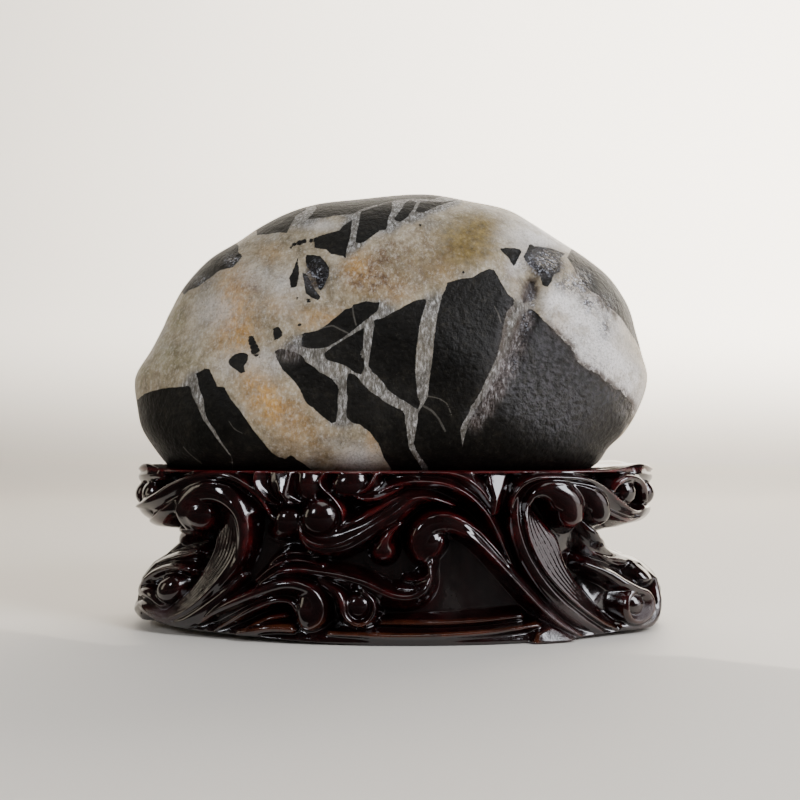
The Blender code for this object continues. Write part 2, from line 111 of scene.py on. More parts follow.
# How steeply a form falls away outside its outline, how softly it meets what is round it, and how far
# from it that is looked at.
WALL_SLOPE = 2.4
BLEND = 2.4
FACET_BLEND = 0.6
FACET_EDGE_SLOPE = 2.0
LEAST_HALF_WIDTH = 0.4
REACH_MARGIN = 8
FACET_MARGIN = 6
FAR_BELOW = -1e3
# The shapes of the small forms: a ball's height, a line's section, and where lines and flutes run out.
BALL_ROUNDNESS = 0.9
LINE_HOLLOW = 1.6
LINE_ENDS = 0.15
FLUTE_START = 0.12
FLUTE_END = 0.2
FLUTE_FOOT = 0.2
FLUTE_CREST = 0.125
# How far round a point the surface is averaged to tell its edges and its pits, in grid steps.
EDGE_REACH = 3
PIT_REACH = 14
SEAT_GAP = 0.4
# The stand's grid, and the triangles that it is thinned to.
STAND_TRIANGLES = 190000 // COARSE**2
WALL_COLUMNS = 924 // COARSE
WALL_ROWS = 290 // COARSE
RASTER_PAST_RIM = 6
TOP_ROWS = 60
FOOT_ROWS = 16
# The rows of the top lie closer at the rim, by this power, and the rim's swellings and the lifted feet
# run out at this share of the way from the middle.
TOP_SPACING = 1.3
MARGIN_FROM = 0.75
# Keeps a division from meeting nought.
TINY = 1e-12
NOWHERE_NEAR = 1e9


def smooth_path(points, per_leg=8):
    """Catmull-Rom curve through the points, which may have any number of columns."""
    p = np.asarray(points, float)
    ends = np.vstack([2 * p[0] - p[1], p, 2 * p[-1] - p[-2]])
    t = np.linspace(0, 1, per_leg, endpoint=False)[:, None]
    legs = [
        0.5 * (2 * b + (c - a) * t + (2 * a - 5 * b + 4 * c - d) * t**2 + (3 * b - a - 3 * c + d) * t**3)
        for a, b, c, d in zip(ends[:-3], ends[1:-2], ends[2:-1], ends[3:])
    ]
    return np.vstack(legs + [p[-1:]])


def smooth_step(x):
    """3x^2 - 2x^3 between 0 and 1, flat outside."""
    x = np.clip(x, 0, 1)
    return x * x * (3 - 2 * x)


def nearest_on_leg(u, z, a, b):
    """How far along the leg from a to b the nearest point lies, from 0 to 1, and the offsets from it."""
    du, dz = b[:2] - a[:2]
    along = np.clip(((u - a[0]) * du + (z - a[1]) * dz) / (du * du + dz * dz + TINY), 0, 1)
    return along, u - a[0] - along * du, z - a[1] - along * dz


def dome(u, z, centre, radii):
    """1 at the centre, falling smoothly to 0 at the ellipse with these radii."""
    return smooth_step(1 - np.hypot((u - centre[0]) / radii[0], (z - centre[1]) / radii[1]))


def patches(u, z, places):
    """The sum of soft elliptical patches."""
    return sum(strength * dome(u, z, centre, radii) for centre, radii, strength in places)


def softened(field, reach):
    """The field averaged three times over a square window, reach samples to each side."""
    reach = max(1, int(round(reach / COARSE)))
    for axis in (0, 1, 0, 1, 0, 1):
        rows = np.moveaxis(field, axis, 0)
        padded = np.concatenate([rows[:1].repeat(reach + 1, 0), rows, rows[-1:].repeat(reach, 0)])
        total = np.cumsum(padded, 0)
        field = np.moveaxis((total[2 * reach + 1:] - total[:-2 * reach - 1]) / (2 * reach + 1), 0, axis)
    return field


# ---------------------------------------------------------------------------- the carving

# One side of a ridge: x is 1 on the crest and 0 at the foot.
SIDES = {
    "round": lambda x: np.sqrt(np.maximum(0, 1 - (1 - x) ** 2)),
    "hollow": lambda x: x**1.9,
    "soft": smooth_step,
    "flat": lambda x: x,
}


def spread_along(path, *values):
    """The path's points with more columns, each a few values spread evenly along it, as a smooth curve."""
    count = len(path)
    columns = [np.asarray(path, float)]
    for value in values:
        value = np.atleast_1d(np.asarray(value, float))
        columns.append(np.interp(np.linspace(0, 1, count), np.linspace(0, 1, len(value)), value)[:, None])
    return smooth_path(np.hstack(columns))


class Ridge:
    """A carved ridge or band along a path (u, z).

    left and right are its half widths as seen along the path, crest its height, drop the fall from
    crest to foot on each side. Each may be a few values, spread evenly along the path. flutes is
    (side, how many, how deep) for fine gouged channels that run along one side.
    """

    def __init__(self, path, left, right, crest, drop=8, side="round", flutes=None, blend=BLEND):
        self.blend = blend
        self.rows = spread_along(path, left, right, crest)
        self.rows[:, 2:4] = np.maximum(self.rows[:, 2:4], LEAST_HALF_WIDTH)
        self.drop = drop if isinstance(drop, tuple) else (drop, drop)
        self.side = side if isinstance(side, tuple) else (side, side)
        self.flutes = flutes

    def reach(self):
        margin = self.rows[:, 2:4].max() + REACH_MARGIN
        low, high = self.rows[:, :2].min(0) - margin, self.rows[:, :2].max(0) + margin
        return low[0], high[0], low[1], high[1]

    def section(self, u, z):
        """The level, how near the crest, whether on the left side, and how far along. The nearest point of
        the path sets half width and crest, and the side's curve the fall from it."""
        nearest = np.full(u.shape, NOWHERE_NEAR)
        half, crest, on_left, run = (np.zeros_like(u) for _ in range(4))
        legs = len(self.rows) - 1
        for leg, (a, b) in enumerate(zip(self.rows[:-1], self.rows[1:])):
            along, off_u, off_z = nearest_on_leg(u, z, a, b)
            away = np.hypot(off_u, off_z)
            left = (b[0] - a[0]) * off_z - (b[1] - a[1]) * off_u >= 0
            closer = away < nearest
            nearest = np.where(closer, away, nearest)
            sides = a[2:4] + along[..., None] * (b[2:4] - a[2:4])
            half = np.where(closer, np.where(left, sides[..., 0], sides[..., 1]), half)
            crest = np.where(closer, a[4] + along * (b[4] - a[4]), crest)
            on_left = np.where(closer, left, on_left)
            run = np.where(closer, (leg + along) / legs, run)
        x = np.clip(1 - nearest / half, 0, 1)
        shape = np.where(on_left > 0, SIDES[self.side[0]](x), SIDES[self.side[1]](x))
        raised = crest - np.where(on_left > 0, *self.drop) * (1 - shape)
        return raised - WALL_SLOPE * np.maximum(0, nearest - half), x, on_left > 0, run

    def level(self, u, z):
        return self.section(u, z)[0]

    def gouged(self, u, z, surface):
        """The flutes: shallow round channels side by side, |sin| across the side, where this ridge is the
        surface, fading towards its rim, its foot and both ends."""
        side, count, depth = self.flutes
        raised, x, on_left, run = self.section(u, z)
        fade = smooth_step(run / FLUTE_START) * smooth_step((1 - run) / FLUTE_END)
        fade = fade * smooth_step(x / FLUTE_FOOT) * smooth_step((1 - x) / FLUTE_CREST)
        shown = (on_left == (side == "left")) * smooth_step(2 - np.abs(surface - raised))
        return -shown * fade * depth * np.abs(np.sin(np.pi * count * x))


class Ball:
    """A carved ball or egg, standing out to a height. radii are along its length and across, tilt turns
    the length from the u axis, in degrees, and blend is how softly it grows out of what is round it."""

    def __init__(self, centre, radii, crest, tilt=0.0, blend=BLEND):
        self.centre, self.crest, self.blend = centre, crest, blend
        self.radii = radii if isinstance(radii, tuple) else (radii, radii)
        self.turn = np.radians(tilt)

    def reach(self):
        margin = max(self.radii) + REACH_MARGIN
        u, z = self.centre
        return u - margin, u + margin, z - margin, z + margin

    def level(self, u, z):
        """The cap of a sphere, a little flatter than round, stretched to the egg's outline."""
        du, dz = u - self.centre[0], z - self.centre[1]
        length = (du * np.cos(self.turn) + dz * np.sin(self.turn)) / self.radii[0]
        width = (dz * np.cos(self.turn) - du * np.sin(self.turn)) / self.radii[1]
        away = np.hypot(length, width)
        small = min(self.radii)
        cap = small * (np.sqrt(np.maximum(0, 1 - away**2)) - 1)
        return self.crest + BALL_ROUNDNESS * cap - WALL_SLOPE * small * np.maximum(0, away - 1)


class Facet:
    """A flat cut with straight edges, given by its corners, anticlockwise. Its height is crest at the first
    corner and changes by slope_u and slope_z for each millimetre."""

    def __init__(self, corners, crest, slope_u, slope_z):
        self.blend = FACET_BLEND
        self.corners, self.crest, self.slopes = np.asarray(corners, float), crest, (slope_u, slope_z)

    def reach(self):
        low, high = self.corners.min(0) - FACET_MARGIN, self.corners.max(0) + FACET_MARGIN
        return low[0], high[0], low[1], high[1]

    def level(self, u, z):
        outside = np.full(u.shape, FAR_BELOW)
        for a, b in zip(self.corners, np.roll(self.corners, -1, axis=0)):
            du, dz = b - a
            outside = np.maximum(outside, ((u - a[0]) * dz - (z - a[1]) * du) / np.hypot(du, dz))
        start = self.corners[0]
        plane = self.crest + self.slopes[0] * (u - start[0]) + self.slopes[1] * (z - start[1])
        return plane - FACET_EDGE_SLOPE * np.maximum(0, outside)


class Line:
    """A fine crest that rides on whatever is under it, or a gouged line where the height is negative."""

    def __init__(self, path, width, height):
        self.rows = spread_along(path, 0.0)[:, :2]
        self.width, self.height = width, height

    def reach(self):
        low, high = self.rows.min(0) - self.width - 1, self.rows.max(0) + self.width + 1
        return low[0], high[0], low[1], high[1]

    def added(self, u, z):
        """The crest with hollow sides, (1 - distance / width) to a power, fading out at both ends."""
        nearest, run = np.full(u.shape, NOWHERE_NEAR), np.zeros_like(u)
        legs = len(self.rows) - 1
        for leg, (a, b) in enumerate(zip(self.rows[:-1], self.rows[1:])):
            along, off_u, off_z = nearest_on_leg(u, z, a, b)
            away = np.hypot(off_u, off_z)
            run = np.where(away < nearest, (leg + along) / legs, run)
            nearest = np.minimum(nearest, away)
        ends = smooth_step(run / LINE_ENDS) * smooth_step((1 - run) / LINE_ENDS)
        return self.height * ends * np.clip(1 - nearest / self.width, 0, 1) ** LINE_HOLLOW


LEFT_WAVE = [
    # The fluted sheet, the roll that holds it and the knob in which the roll ends.
    Ridge(
        [(-174, 9), (-162, 12), (-149, 17.5), (-138, 25), (-128, 34), (-119, 43.5), (-112, 53),
         (-108, 62.5), (-107, 72), (-109, 80), (-114, 88)],
        [4, 8, 11, 13.5, 16, 18, 19, 16, 9], 3, [0, 2, 3, 3.5, 3.5, 3, 2], drop=(5, 6),
        side=("flat", "round"), flutes=("left", 7, 0.4),
    ),
    Ridge(
        [(-128, 30), (-118, 39.5), (-111, 47.5), (-106, 56), (-103.5, 65), (-103, 75), (-105.5, 84.5),
         (-112, 92), (-121, 96.5), (-131, 97.5), (-140, 95), (-147, 89), (-149.5, 81), (-147, 74)],
        [3, 5, 5, 6, 7, 9, 7], [3, 4, 5, 6.5, 10, 12, 9, 6], [0, 4, 5.5, 7, 8, 8, 7, 4], drop=(9, 10),
    ),
    Ball((-138.5, 83.5), (13, 12), 8, blend=6.0),
    Facet(
        [(-109, 92), (-105, 86), (-101, 81), (-96, 85.5), (-90, 89.5), (-96, 96), (-103, 94.5)],
        8.6, -0.99, -0.50,
    ),
    # The band over it, which opens into leaves at the left end.
    Ridge(
        [(-85, 82), (-88, 88.5), (-92, 95), (-99, 101.5), (-108, 107), (-118, 110), (-129, 110),
         (-141, 107.5), (-151, 104), (-160, 100), (-168, 95), (-178, 90.5), (-190, 87), (-202, 85)],
        [3, 4, 7, 11, 12, 9, 4], [2, 3, 3, 3, 3, 5, 3], [1, 5, 7, 7, 7.5, 6, 2], drop=(8, 6),
        side=("soft", "round"),
    ),
    Line([(-104, 98.5), (-109, 101), (-115, 103), (-125, 104.3), (-136, 103)], 3.0, 1.8),
    Ridge(
        [(-143, 97), (-152, 94), (-160, 88.5), (-168, 83.5), (-177, 79.5), (-189, 76.5), (-200, 75)],
        [4, 7, 7, 5], [4, 5, 5, 4], [2, 5.5, 5, 2], drop=(7, 5), side=("round", "hollow"),
    ),
    # The band under it.
    Ridge(
        [(-168, 6), (-153, 10), (-140, 16), (-128, 24), (-117, 33), (-108, 42)],
        [3, 5, 5, 3], [5, 7, 6, 3], [-1, 3, 2, -3], drop=8,
    ),
]
LEFT_FOOT = [
    Ridge(
        [(-146, 71), (-156, 69), (-166, 66), (-178, 61), (-190, 53), (-199, 43), (-205, 30), (-207, 15)],
        [6, 8, 8, 6], 5, [-2, 2, 3, 2, 0], drop=(7, 6), side=("soft", "round"),
    ),
    Ridge(
        [(-148, 56), (-160, 53.5), (-172, 51.5), (-184, 48.5), (-194, 42), (-200, 33)],
        [5, 6, 4], [4, 5, 4], [-1, 4.5, 2], drop=7, side=("soft", "round"),
    ),
    Ridge(
        [(-153, 45), (-164, 45.5), (-175, 43.5), (-185, 39.5), (-193, 33), (-197, 25)],
        [5, 6, 4], [3, 4, 3], [1, 6, 3], drop=7, side=("soft", "round"),
    ),
    Ball((-167, 31), (12, 10), 4.5, 30, blend=5.0),
    Ridge([(-172, 20), (-181, 25), (-190, 26.5), (-200, 24)], 4, 5, [1, 5, 2], drop=7),
    Ridge([(-158, 8), (-170, 11), (-181, 15), (-192, 17), (-203, 13)], [3, 5, 4], 5, [0, 4, 2]),
]
HANGING_LOBES = [
    Ridge(
        [(-93, 114), (-94.7, 108), (-93.5, 102.5), (-90, 98), (-85.5, 94), (-81, 91.5)],
        [6, 6, 3], 2.2, [5, 5.5, 3], drop=(5, 7), side=("hollow", "round"),
    ),
    Ball((-78, 104), (12, 9), 5, -70, blend=4.0),
    Facet([(-82, 113.5), (-77, 99), (-73.5, 96.5), (-70, 113.5)], 3.0, 0.08, -0.33),
    Ridge([(-73, 99), (-70, 95.5), (-65, 92.5)], 2.2, 2.2, [5, 4, 2], drop=6),
    Ball((-60, 104.5), (12, 8.5), 5, -85, blend=6.0),
    Ball((-32.5, 104.5), (12.5, 9), 5, 10, blend=6.0),
]
PEARLS = [
    Ball((-74.5, 80), (11, 10), 2.5, blend=7.0),
    Line([(-87, 84), (-84, 88), (-79, 90.7), (-73, 91.2), (-67, 90), (-63, 86)], 2.2, 2.2),
    Ball((-78, 73.5), (8, 5), -1, blend=6.0),
    Ball((-52, 82.5), 13.2, 8.6, blend=1.5),
    Ridge(
        [(-47, 112.5), (-50.5, 109), (-51.8, 105), (-49.5, 101), (-45, 97), (-41, 92.5), (-37.7, 87),
         (-37, 81), (-39.5, 75.5)], 1.9, 1.9, [5, 6, 5, 5, 3], drop=5, side="hollow",
    ),
]
LONG_SCROLL = [
    Ridge(
        [(-64, 77), (-62.5, 72), (-58, 67.5), (-50.5, 65), (-42.5, 65.5), (-35, 68), (-28, 71.5),
         (-20, 76.3), (-12, 81.3), (-4, 86), (2, 90.8), (8, 94.7), (14, 96.3), (21, 95.8), (28, 93.5),
         (35, 90.5)],
        [2, 6, 9, 9, 8, 6, 3, 1], [3, 7, 8, 8, 8, 7, 4, 1], [3, 6.5, 7, 7, 7, 6, 3], drop=(5, 10),
        side=("hollow", "round"),
    ),
    Ridge(
        [(-41, 72.5), (-33, 77), (-25, 81), (-17, 85.5), (-9, 90.3), (-2, 94.5), (5, 98)],
        [3, 4, 4, 2], [2, 3, 3, 1], [2, 6.5, 6.5, 5, 1], drop=(8, 3), side=("round", "hollow"),
    ),
    Line([(-60, 66), (-52, 62.8), (-43, 62.5), (-34, 64.8), (-26, 69)], 1.6, -1.0),
]
FALLING_WAVES = [
    # The upper one: a wide band with one fold above it, then the curled leaf where it starts.
    Ridge(
        [(-14, 99), (-4, 103.5), (8, 106), (20, 106), (30, 104.3), (38, 101), (45, 96.5), (51, 91),
         (56.5, 84), (61, 76), (65, 67.5), (69, 59), (74, 50)],
        [3, 5, 5, 5, 3, 3, 3, 2], [3, 6, 6, 5, 4, 4, 3, 1], [3, 6.5, 7.5, 7.5, 7, 6.5, 3], drop=(7, 10),
        side=("hollow", "soft"),
    ),
    Line([(-2, 100.5), (8, 102.7), (20, 102.5), (30, 100.5), (38, 97.5), (45, 93)], 2.5, 1.3),
    Ridge(
        [(14, 112), (26, 112), (36, 110), (44, 106.3), (51, 100.5), (56, 94), (59.5, 87)],
        [2, 4, 3], [3, 3.5, 2], [5, 8.5, 5], drop=(5, 4), side=("soft", "hollow"),
    ),
    Ridge(
        [(-28.5, 96.5), (-22, 95), (-14, 95.8), (-6, 99), (2, 103)],
        [2, 5, 4, 2], [2, 3, 3, 2], [3, 6, 5, 4], drop=(5, 8), side=("hollow", "round"),
    ),
    Ridge(
        [(-27, 97.5), (-21, 101), (-17.5, 105.5), (-15, 111)],
        2.5, 3, [4, 6.5, 5], drop=(7, 5), side=("round", "hollow"),
    ),
    # The lower one: the spiral head, then a band between two crests down to the foot.
    Ridge(
        [(13, 58), (10.5, 65), (11.5, 72), (16, 77.5), (23, 80), (31, 79.5), (38, 76.5), (45, 71.7),
         (51, 66.5), (58, 59.7), (65, 52), (72, 44.5), (80, 36), (88, 27.7), (96, 20), (104, 13.5),
         (113, 7.5), (122, 2.5)],
        [4, 6, 7, 7, 6, 5, 5, 4, 3], [8, 11, 8, 5, 4, 4, 4, 3, 3], [5, 9, 9, 8, 7.5, 7, 6, 4, 2],
        drop=(9, 11),
    ),
    Ball((19, 66.5), (10.5, 9.5), 7.3, 60),
    Line(
        [(20, 84.3), (27, 85.3), (34, 84), (40, 81), (46, 77), (51.5, 73.5), (57, 69.5), (62, 64),
         (67, 58), (73, 51)], 4.4, 3.0,
    ),
    Line(
        [(36, 76.3), (42, 72.5), (48, 68), (54, 62.3), (61, 55), (68, 47.3), (76, 38.7), (84, 30.2),
         (92, 22.3), (100, 15.4), (108, 9.5), (117, 4)], 3.2, 2.8,
    ),
    Line([(38, 81.5), (45, 76.5), (52, 70), (59, 62.5), (66, 54.5), (73, 46.5)], 2.2, -1.6),
    Line([(32, 74.5), (28.5, 73.3), (27, 69), (25.5, 64.5), (22.5, 60), (17, 56.5)], 2.0, 2.0),
    # The comma.
    Ball((-10.5, 62), 7, 5),
    Ridge(
        [(-11, 63), (-9.3, 69), (-5.5, 74.5), (1, 79)], [5, 4, 1.5], [6, 4, 1.5], [5.5, 6.5, 3], drop=9,
    ),
]
LOW_WAVES = [
    # The upper one, with two folds over it and two in the hook at its right end.
    Ridge(
        [(-104, 29), (-97, 34.5), (-90, 40), (-83, 44.7), (-76, 48), (-66, 49.2), (-55, 48.2),
         (-43, 46.7), (-33, 44.5), (-22, 41), (-12, 36.3), (-4, 33), (5, 32), (12, 33.7), (17, 38),
         (19.8, 45), (19.5, 52)],
        [1, 2, 2.5, 2.5, 3, 3, 4, 3], [2, 5, 8, 9, 9, 8, 6, 2], [0, 5, 6.5, 6.5, 6, 6, 6.5, 3],
        drop=(9, 9), side=("round", "soft"),
    ),
    Ridge(
        [(-95, 40), (-86, 47.5), (-77, 52.5), (-70, 54.2), (-61, 53.7), (-50, 51)],
        2.5, 3.5, [1, 5, 1.5], drop=(8, 5), side=("round", "hollow"),
    ),
    Ridge(
        [(-86, 50.5), (-80, 55.5), (-74, 58.3), (-66, 58.9), (-58, 57.5)],
        2.5, 3, [0, 3.5, 0], drop=(8, 5), side=("round", "hollow"),
    ),
    Ridge(
        [(5, 42), (11, 42), (16, 44.5), (19.5, 49.5), (21, 55)],
        2.5, 3, [0, 4, 5, 2], drop=7, side="hollow",
    ),
    Ridge([(-2, 37), (6, 36.5), (12, 38.3), (16.5, 43)], 2, 2.5, [0, 4.5, 4], drop=6, side="hollow"),
    # The middle curl.
    Ridge(
        [(-51, 42), (-44.5, 38), (-39, 33.5), (-36.5, 27.5), (-35.5, 21), (-31.5, 16), (-26, 14),
         (-20.3, 16.5), (-16.7, 22.5), (-17.5, 29.5), (-23, 35)],
        [3, 3, 2.2, 2.2, 2.2], [4, 4, 2.2, 2.2, 2.2], [3, 6, 5, 5, 4], drop=6,
    ),
    Ball((-27, 25.5), 9.5, 4.2, blend=5.0),
    # The lower one, whose end hangs as a knob, and the folds inside it.
    Ridge(
        [(-140, 9), (-130, 15.7), (-119, 22), (-109, 26.7), (-100, 30.6), (-92, 34), (-84, 37.2),
         (-76, 39.6), (-67.5, 40.2), (-60, 38.6), (-53.5, 34.5), (-50, 28.5), (-49.5, 22), (-52, 15.5),
         (-58, 12)],
        [2, 4, 4, 4, 3, 3, 3], [4, 8, 9, 10, 12, 12, 5], [0, 6, 7.5, 8, 8.5, 8, 5], drop=(9, 9),
        side=("round", "soft"),
    ),
    Ball((-57.5, 23.5), (15, 10.5), 7.2, 78, blend=7.0),
    Ridge(
        [(-126, 7), (-116, 12.5), (-105, 19), (-96, 24), (-87, 28), (-78, 29.8), (-70, 28), (-66, 21)],
        [3, 4, 3], [3, 5, 4], [0, 4, 4, 2], drop=(5, 8), side=("hollow", "round"),
    ),
    Ridge(
        [(-106, 8), (-96, 12.5), (-87, 16.5), (-77, 18.5)],
        2.5, 3, [0, 1, -1], drop=6, side=("hollow", "round"),
    ),
    Ridge([(-108, 6), (-98, 7.8), (-89, 10), (-80, 10.5), (-71, 10.5)], 2.5, 4, [2, 4, 3, 3], drop=6),
]
RIGHT_WAVE = [
    # The bright facet where the two waves part, and the folds to the right of it.
    Facet([(57, 113.5), (58, 104), (61, 90), (66, 102), (72, 113.5)], 0.5, -0.16, -0.40),
    Line([(84, 111), (76, 107), (71, 100.5), (69, 92), (69.5, 83)], 2.4, 2.2),
    # The band over the rolls, out to the right end.
    Ridge(
        [(73.5, 84), (72.5, 91), (75, 98.5), (80, 104), (88, 107.3), (98, 108), (108, 107.7),
         (118, 107), (127, 105), (135, 101.5), (143, 96.7), (152, 90.7), (160, 86), (168, 83.2),
         (177, 82.8), (184, 86)],
        [2, 3, 3, 3, 3, 3, 2], [3, 9, 9, 9, 8, 6, 3], [2, 6.5, 7, 7.5, 7, 6, 3], drop=(8, 7),
        side=("round", "hollow"),
    ),
    Line([(92, 104.5), (104, 104.5), (115, 103.5), (124, 101), (132, 97.5)], 2.0, 1.2),
    # The fluted sheet and the dark band outside it.
    Ridge(
        [(77, 96), (75.8, 87), (76, 78), (78.5, 68), (82.5, 58), (88, 48.5), (94.5, 39.5), (102, 31),
         (110.5, 23.5), (120, 16.5), (130, 10), (140, 4)],
        [4, 6, 7, 7, 7, 5], [3, 6, 7, 7, 7, 5], [2, 5, 5, 5, 4, 1], drop=(6, 9), side=("soft", "round"),
    ),
    Ridge(
        [(85, 95), (81.5, 88), (80.5, 79), (82.3, 69), (86, 59.5), (91, 50.5), (97, 42.5),
         (104.5, 34.7), (112.5, 27.3), (121.5, 20.5), (131, 14.3), (141, 8.7), (152, 4.5)],
        [3, 10, 15, 20, 20, 17, 14, 12, 10, 7, 3], 2.2, [3, 7, 7.5, 7.5, 7, 5.5, 2], drop=(8, 6),
        side=("flat", "hollow"), flutes=("left", 6, 0.38),
    ),
    # The two hanging rolls.
    Ridge(
        [(84, 91), (86.5, 97), (92.5, 100.5), (100, 100.5), (107, 97), (112.5, 91), (114, 84)],
        [3, 4, 6, 9, 10, 9], [4, 6, 9, 12, 12, 10], [3, 7, 9, 10.5, 9.5], drop=(9, 11), blend=4.0,
    ),
    Ridge(
        [(112, 102.5), (121, 100.5), (129, 96.5), (134.5, 91), (136.5, 84)],
        [3, 4, 7, 8, 8], [4, 7, 10, 11, 9], [5, 7.5, 9, 8.5], drop=(8, 11), blend=4.0,
    ),
    # The leaf under the right end.
    Ridge(
        [(140, 88), (150, 83), (161, 79.5), (172, 78), (184, 79), (195, 81)],
        [5, 5, 4], [4, 4, 3], [1, 4, 3, 1], drop=6, side=("hollow", "round"),
    ),
    # Flat cut at the foot.
    Facet([(87, 1), (114, 1), (100, 9.5), (90, 7)], 6.5, 0.04, -0.53),
]
RIGHT_FOOT = [
    Ridge(
        [(126, 78), (132, 72), (139, 66.5), (148, 61.5), (160, 57.5), (172, 54), (184, 50), (196, 44)],
        [3, 4, 5, 4], [6, 9, 9, 6], [-3, 3, 4.5, 3, 1], drop=(7, 8), side=("round", "soft"),
    ),
    Line([(134, 57), (146, 54), (158, 51), (170, 49.5), (184, 47)], 2.4, 1.6),
    Ridge(
        [(130, 50), (141, 46), (151, 41.5), (159, 36), (168, 31.5), (177, 28)],
        [4, 6, 5], [4, 6, 4], [-3, 2.5, 5, 4], drop=8, side=("soft", "round"),
    ),
    Ridge(
        [(171, 30), (178, 27.5), (181.5, 21), (180, 14), (173.5, 9.5), (166, 8.5), (159.5, 12),
         (157, 19), (159.5, 26), (165, 29.5)], [2.5, 3], [4, 6, 5, 3, 3], [5, 6, 5, 5, 4], drop=7,
    ),
    Ball((168, 20), 8.5, 4),
    Ridge(
        [(157, 5), (170, 3.5), (183, 5), (192, 12), (196, 23), (197, 35), (192, 46)],
        5, 5, [1, 4, 4, 3, 2],
    ),
    Ball((164, 97), 9.5, 5),
    Ridge(
        [(148, 98), (153, 104), (162, 107), (173, 105), (181, 99), (184, 91)], 3, 3, [3, 6, 6, 4], drop=6,
    ),
]
BASE_LINES = [
    Ridge(
        [(-46, 7.2), (-30, 7.4), (-12, 7.2), (8, 7), (28, 7.4), (46, 8.3), (62, 9.3), (76, 10.5),
         (91, 11.8)], 1.6, 3.6, [0, 4, 4, 3.5, 2], drop=(4, 3), side=("round", "soft"),
    ),
    Ridge(
        [(-12, 14.5), (4, 14.6), (20, 14.8), (36, 15.2), (52, 16), (66, 17), (80, 18)],
        1.6, 3.4, [-2, 1, 1.5, 0], drop=(4, 3), side=("round", "soft"),
    ),
]


def end_curls(side):
    """Bands that run round one end of the stand, from the front onto the back."""
    return [
        Ridge([(side * 172, 110), (side * 205, 107), (side * 240, 105)], 6, 6, [3, 1, 0]),
        Ridge([(side * 185, 82), (side * 205, 80), (side * 240, 80)], 7, 7, [2, 1, 0]),
        Ridge([(side * 188, 40), (side * 205, 38), (side * 240, 40)], 9, 9, [2, 0, -1]),
        Ridge([(side * 190, 12), (side * 205, 13), (side * 240, 14)], 8, 8, [2, 1, 0]),
        Ball((side * 206, 95), 9, 2),
        Ball((side * 213, 26), 9, 1),
    ]


CARVING = (
    LEFT_WAVE + LEFT_FOOT + HANGING_LOBES + PEARLS + LONG_SCROLL + FALLING_WAVES + LOW_WAVES
    + RIGHT_WAVE + RIGHT_FOOT + BASE_LINES + [Ball((-186, 95.5), 10, 3)] + end_curls(-1) + end_curls(1)
)
# Hollows cut deeper than the ground: centre, radii, depth.
HOLLOWS = [
    ((-146, 55), (22, 26), 10),
    ((132, 48), (26, 32), 10),
    ((183, 36), (12, 12), 5),
    ((40, 78), (12, 10), 4),
]
# Where the gloss is pitted, and the lacquer gets a lighter painted sheen: centre, radii, strength.
PITTED = [
    ((102, 17), (13, 13), 1.6), ((112, 9), (16, 11), 1.6), ((174, 12), (16, 12), 1.6),
    ((-168, 12), (16, 9), 1.6),
]
# Where the flat recess gets a painted grey sheen, and a duller gloss: centre, radii, strength.
RECESS_SHEEN_PLACES = [((52, 34), (22, 18), 1.3), ((34, 26), (12, 9), 1.3)]
# Places where the rim swells over an end curl: u, half length, height.
RIM_SWELLS = [(-190, 26, 4.0), (180, 34, 4.0)]
# How far the lower edge lifts off the floor along the wall.
LIFT_AT = [-230, -175, -140, -100, -60, 0, 60, 110, 150, 230]
LIFT = [8, 7, 4.5, 4, 2, 0, 0, 1.5, 3, 4]


def wall_table():
    """Points round the wall's superellipse and the distance to each along it, from the front's middle."""
    turn = np.linspace(0, 2 * np.pi, WALL_SAMPLES)
    x = WALL_HALF_LENGTH * np.sign(np.sin(turn)) * np.abs(np.sin(turn)) ** (2 / WALL_POWER)
    y = -WALL_HALF_DEPTH * np.sign(np.cos(turn)) * np.abs(np.cos(turn)) ** (2 / WALL_POWER)
    return x, y, np.concatenate([[0], np.cumsum(np.hypot(np.diff(x), np.diff(y)))])


WALL_X, WALL_Y, WALL_RUN = wall_table()
GIRTH = WALL_RUN[-1]


def wall_point(u):
    """The plan point at the distance u round the wall."""
    u = np.mod(u, GIRTH)
    return np.interp(u, WALL_RUN, WALL_X), np.interp(u, WALL_RUN, WALL_Y)


def wall_normal(u):
    """The outward direction at u: the line from just before it to just after it, turned a right angle."""
    x0, y0 = wall_point(u - NORMAL_REACH)
    x1, y1 = wall_point(u + NORMAL_REACH)
    length = np.hypot(x1 - x0, y1 - y0)
    return (y1 - y0) / length, (x0 - x1) / length


def within(form, u, z):
    """Which points the form can reach."""
    low_u, high_u, low_z, high_z = form.reach()
    return (u > low_u) & (u < high_u) & (z > low_z) & (z < high_z)


def fine_carving(u, z, level):
    """The level with its fine lines and flutes cut."""
    level = level.copy()
    for form in CARVING:
        near = within(form, u, z)
        if isinstance(form, Line):
            level[near] += form.added(u[near], z[near])
        elif isinstance(form, Ridge) and form.flutes:
            level[near] += form.gouged(u[near], z[near], level[near])
    return level


def carving(u, z):
    """How far the carved surface stands out from the wall: the ground less its hollows, a sloping foot and
    a lip under the rim, then the soft maximum of that and of every solid form, one after another."""
    level = np.full(u.shape, -GROUND_DEPTH)
    level = level - patches(u, z, HOLLOWS)
    level = np.maximum(level, FOOT_CREST - FOOT_SLOPE * np.maximum(0, z - FOOT_HEIGHT))
    level = np.maximum(level, LIP_CREST - LIP_SLOPE * np.maximum(0, RIM_HEIGHT - LIP_DEPTH - z))
    for form in CARVING:
        near = within(form, u, z)
        if isinstance(form, Line) or not near.any():
            continue
        raised = form.level(u[near], z[near])
        share = np.clip(0.5 + 0.5 * (raised - level[near]) / form.blend, 0, 1)
        level[near] += (raised - level[near]) * share + 0.5 * form.blend * share * (1 - share)
    return level


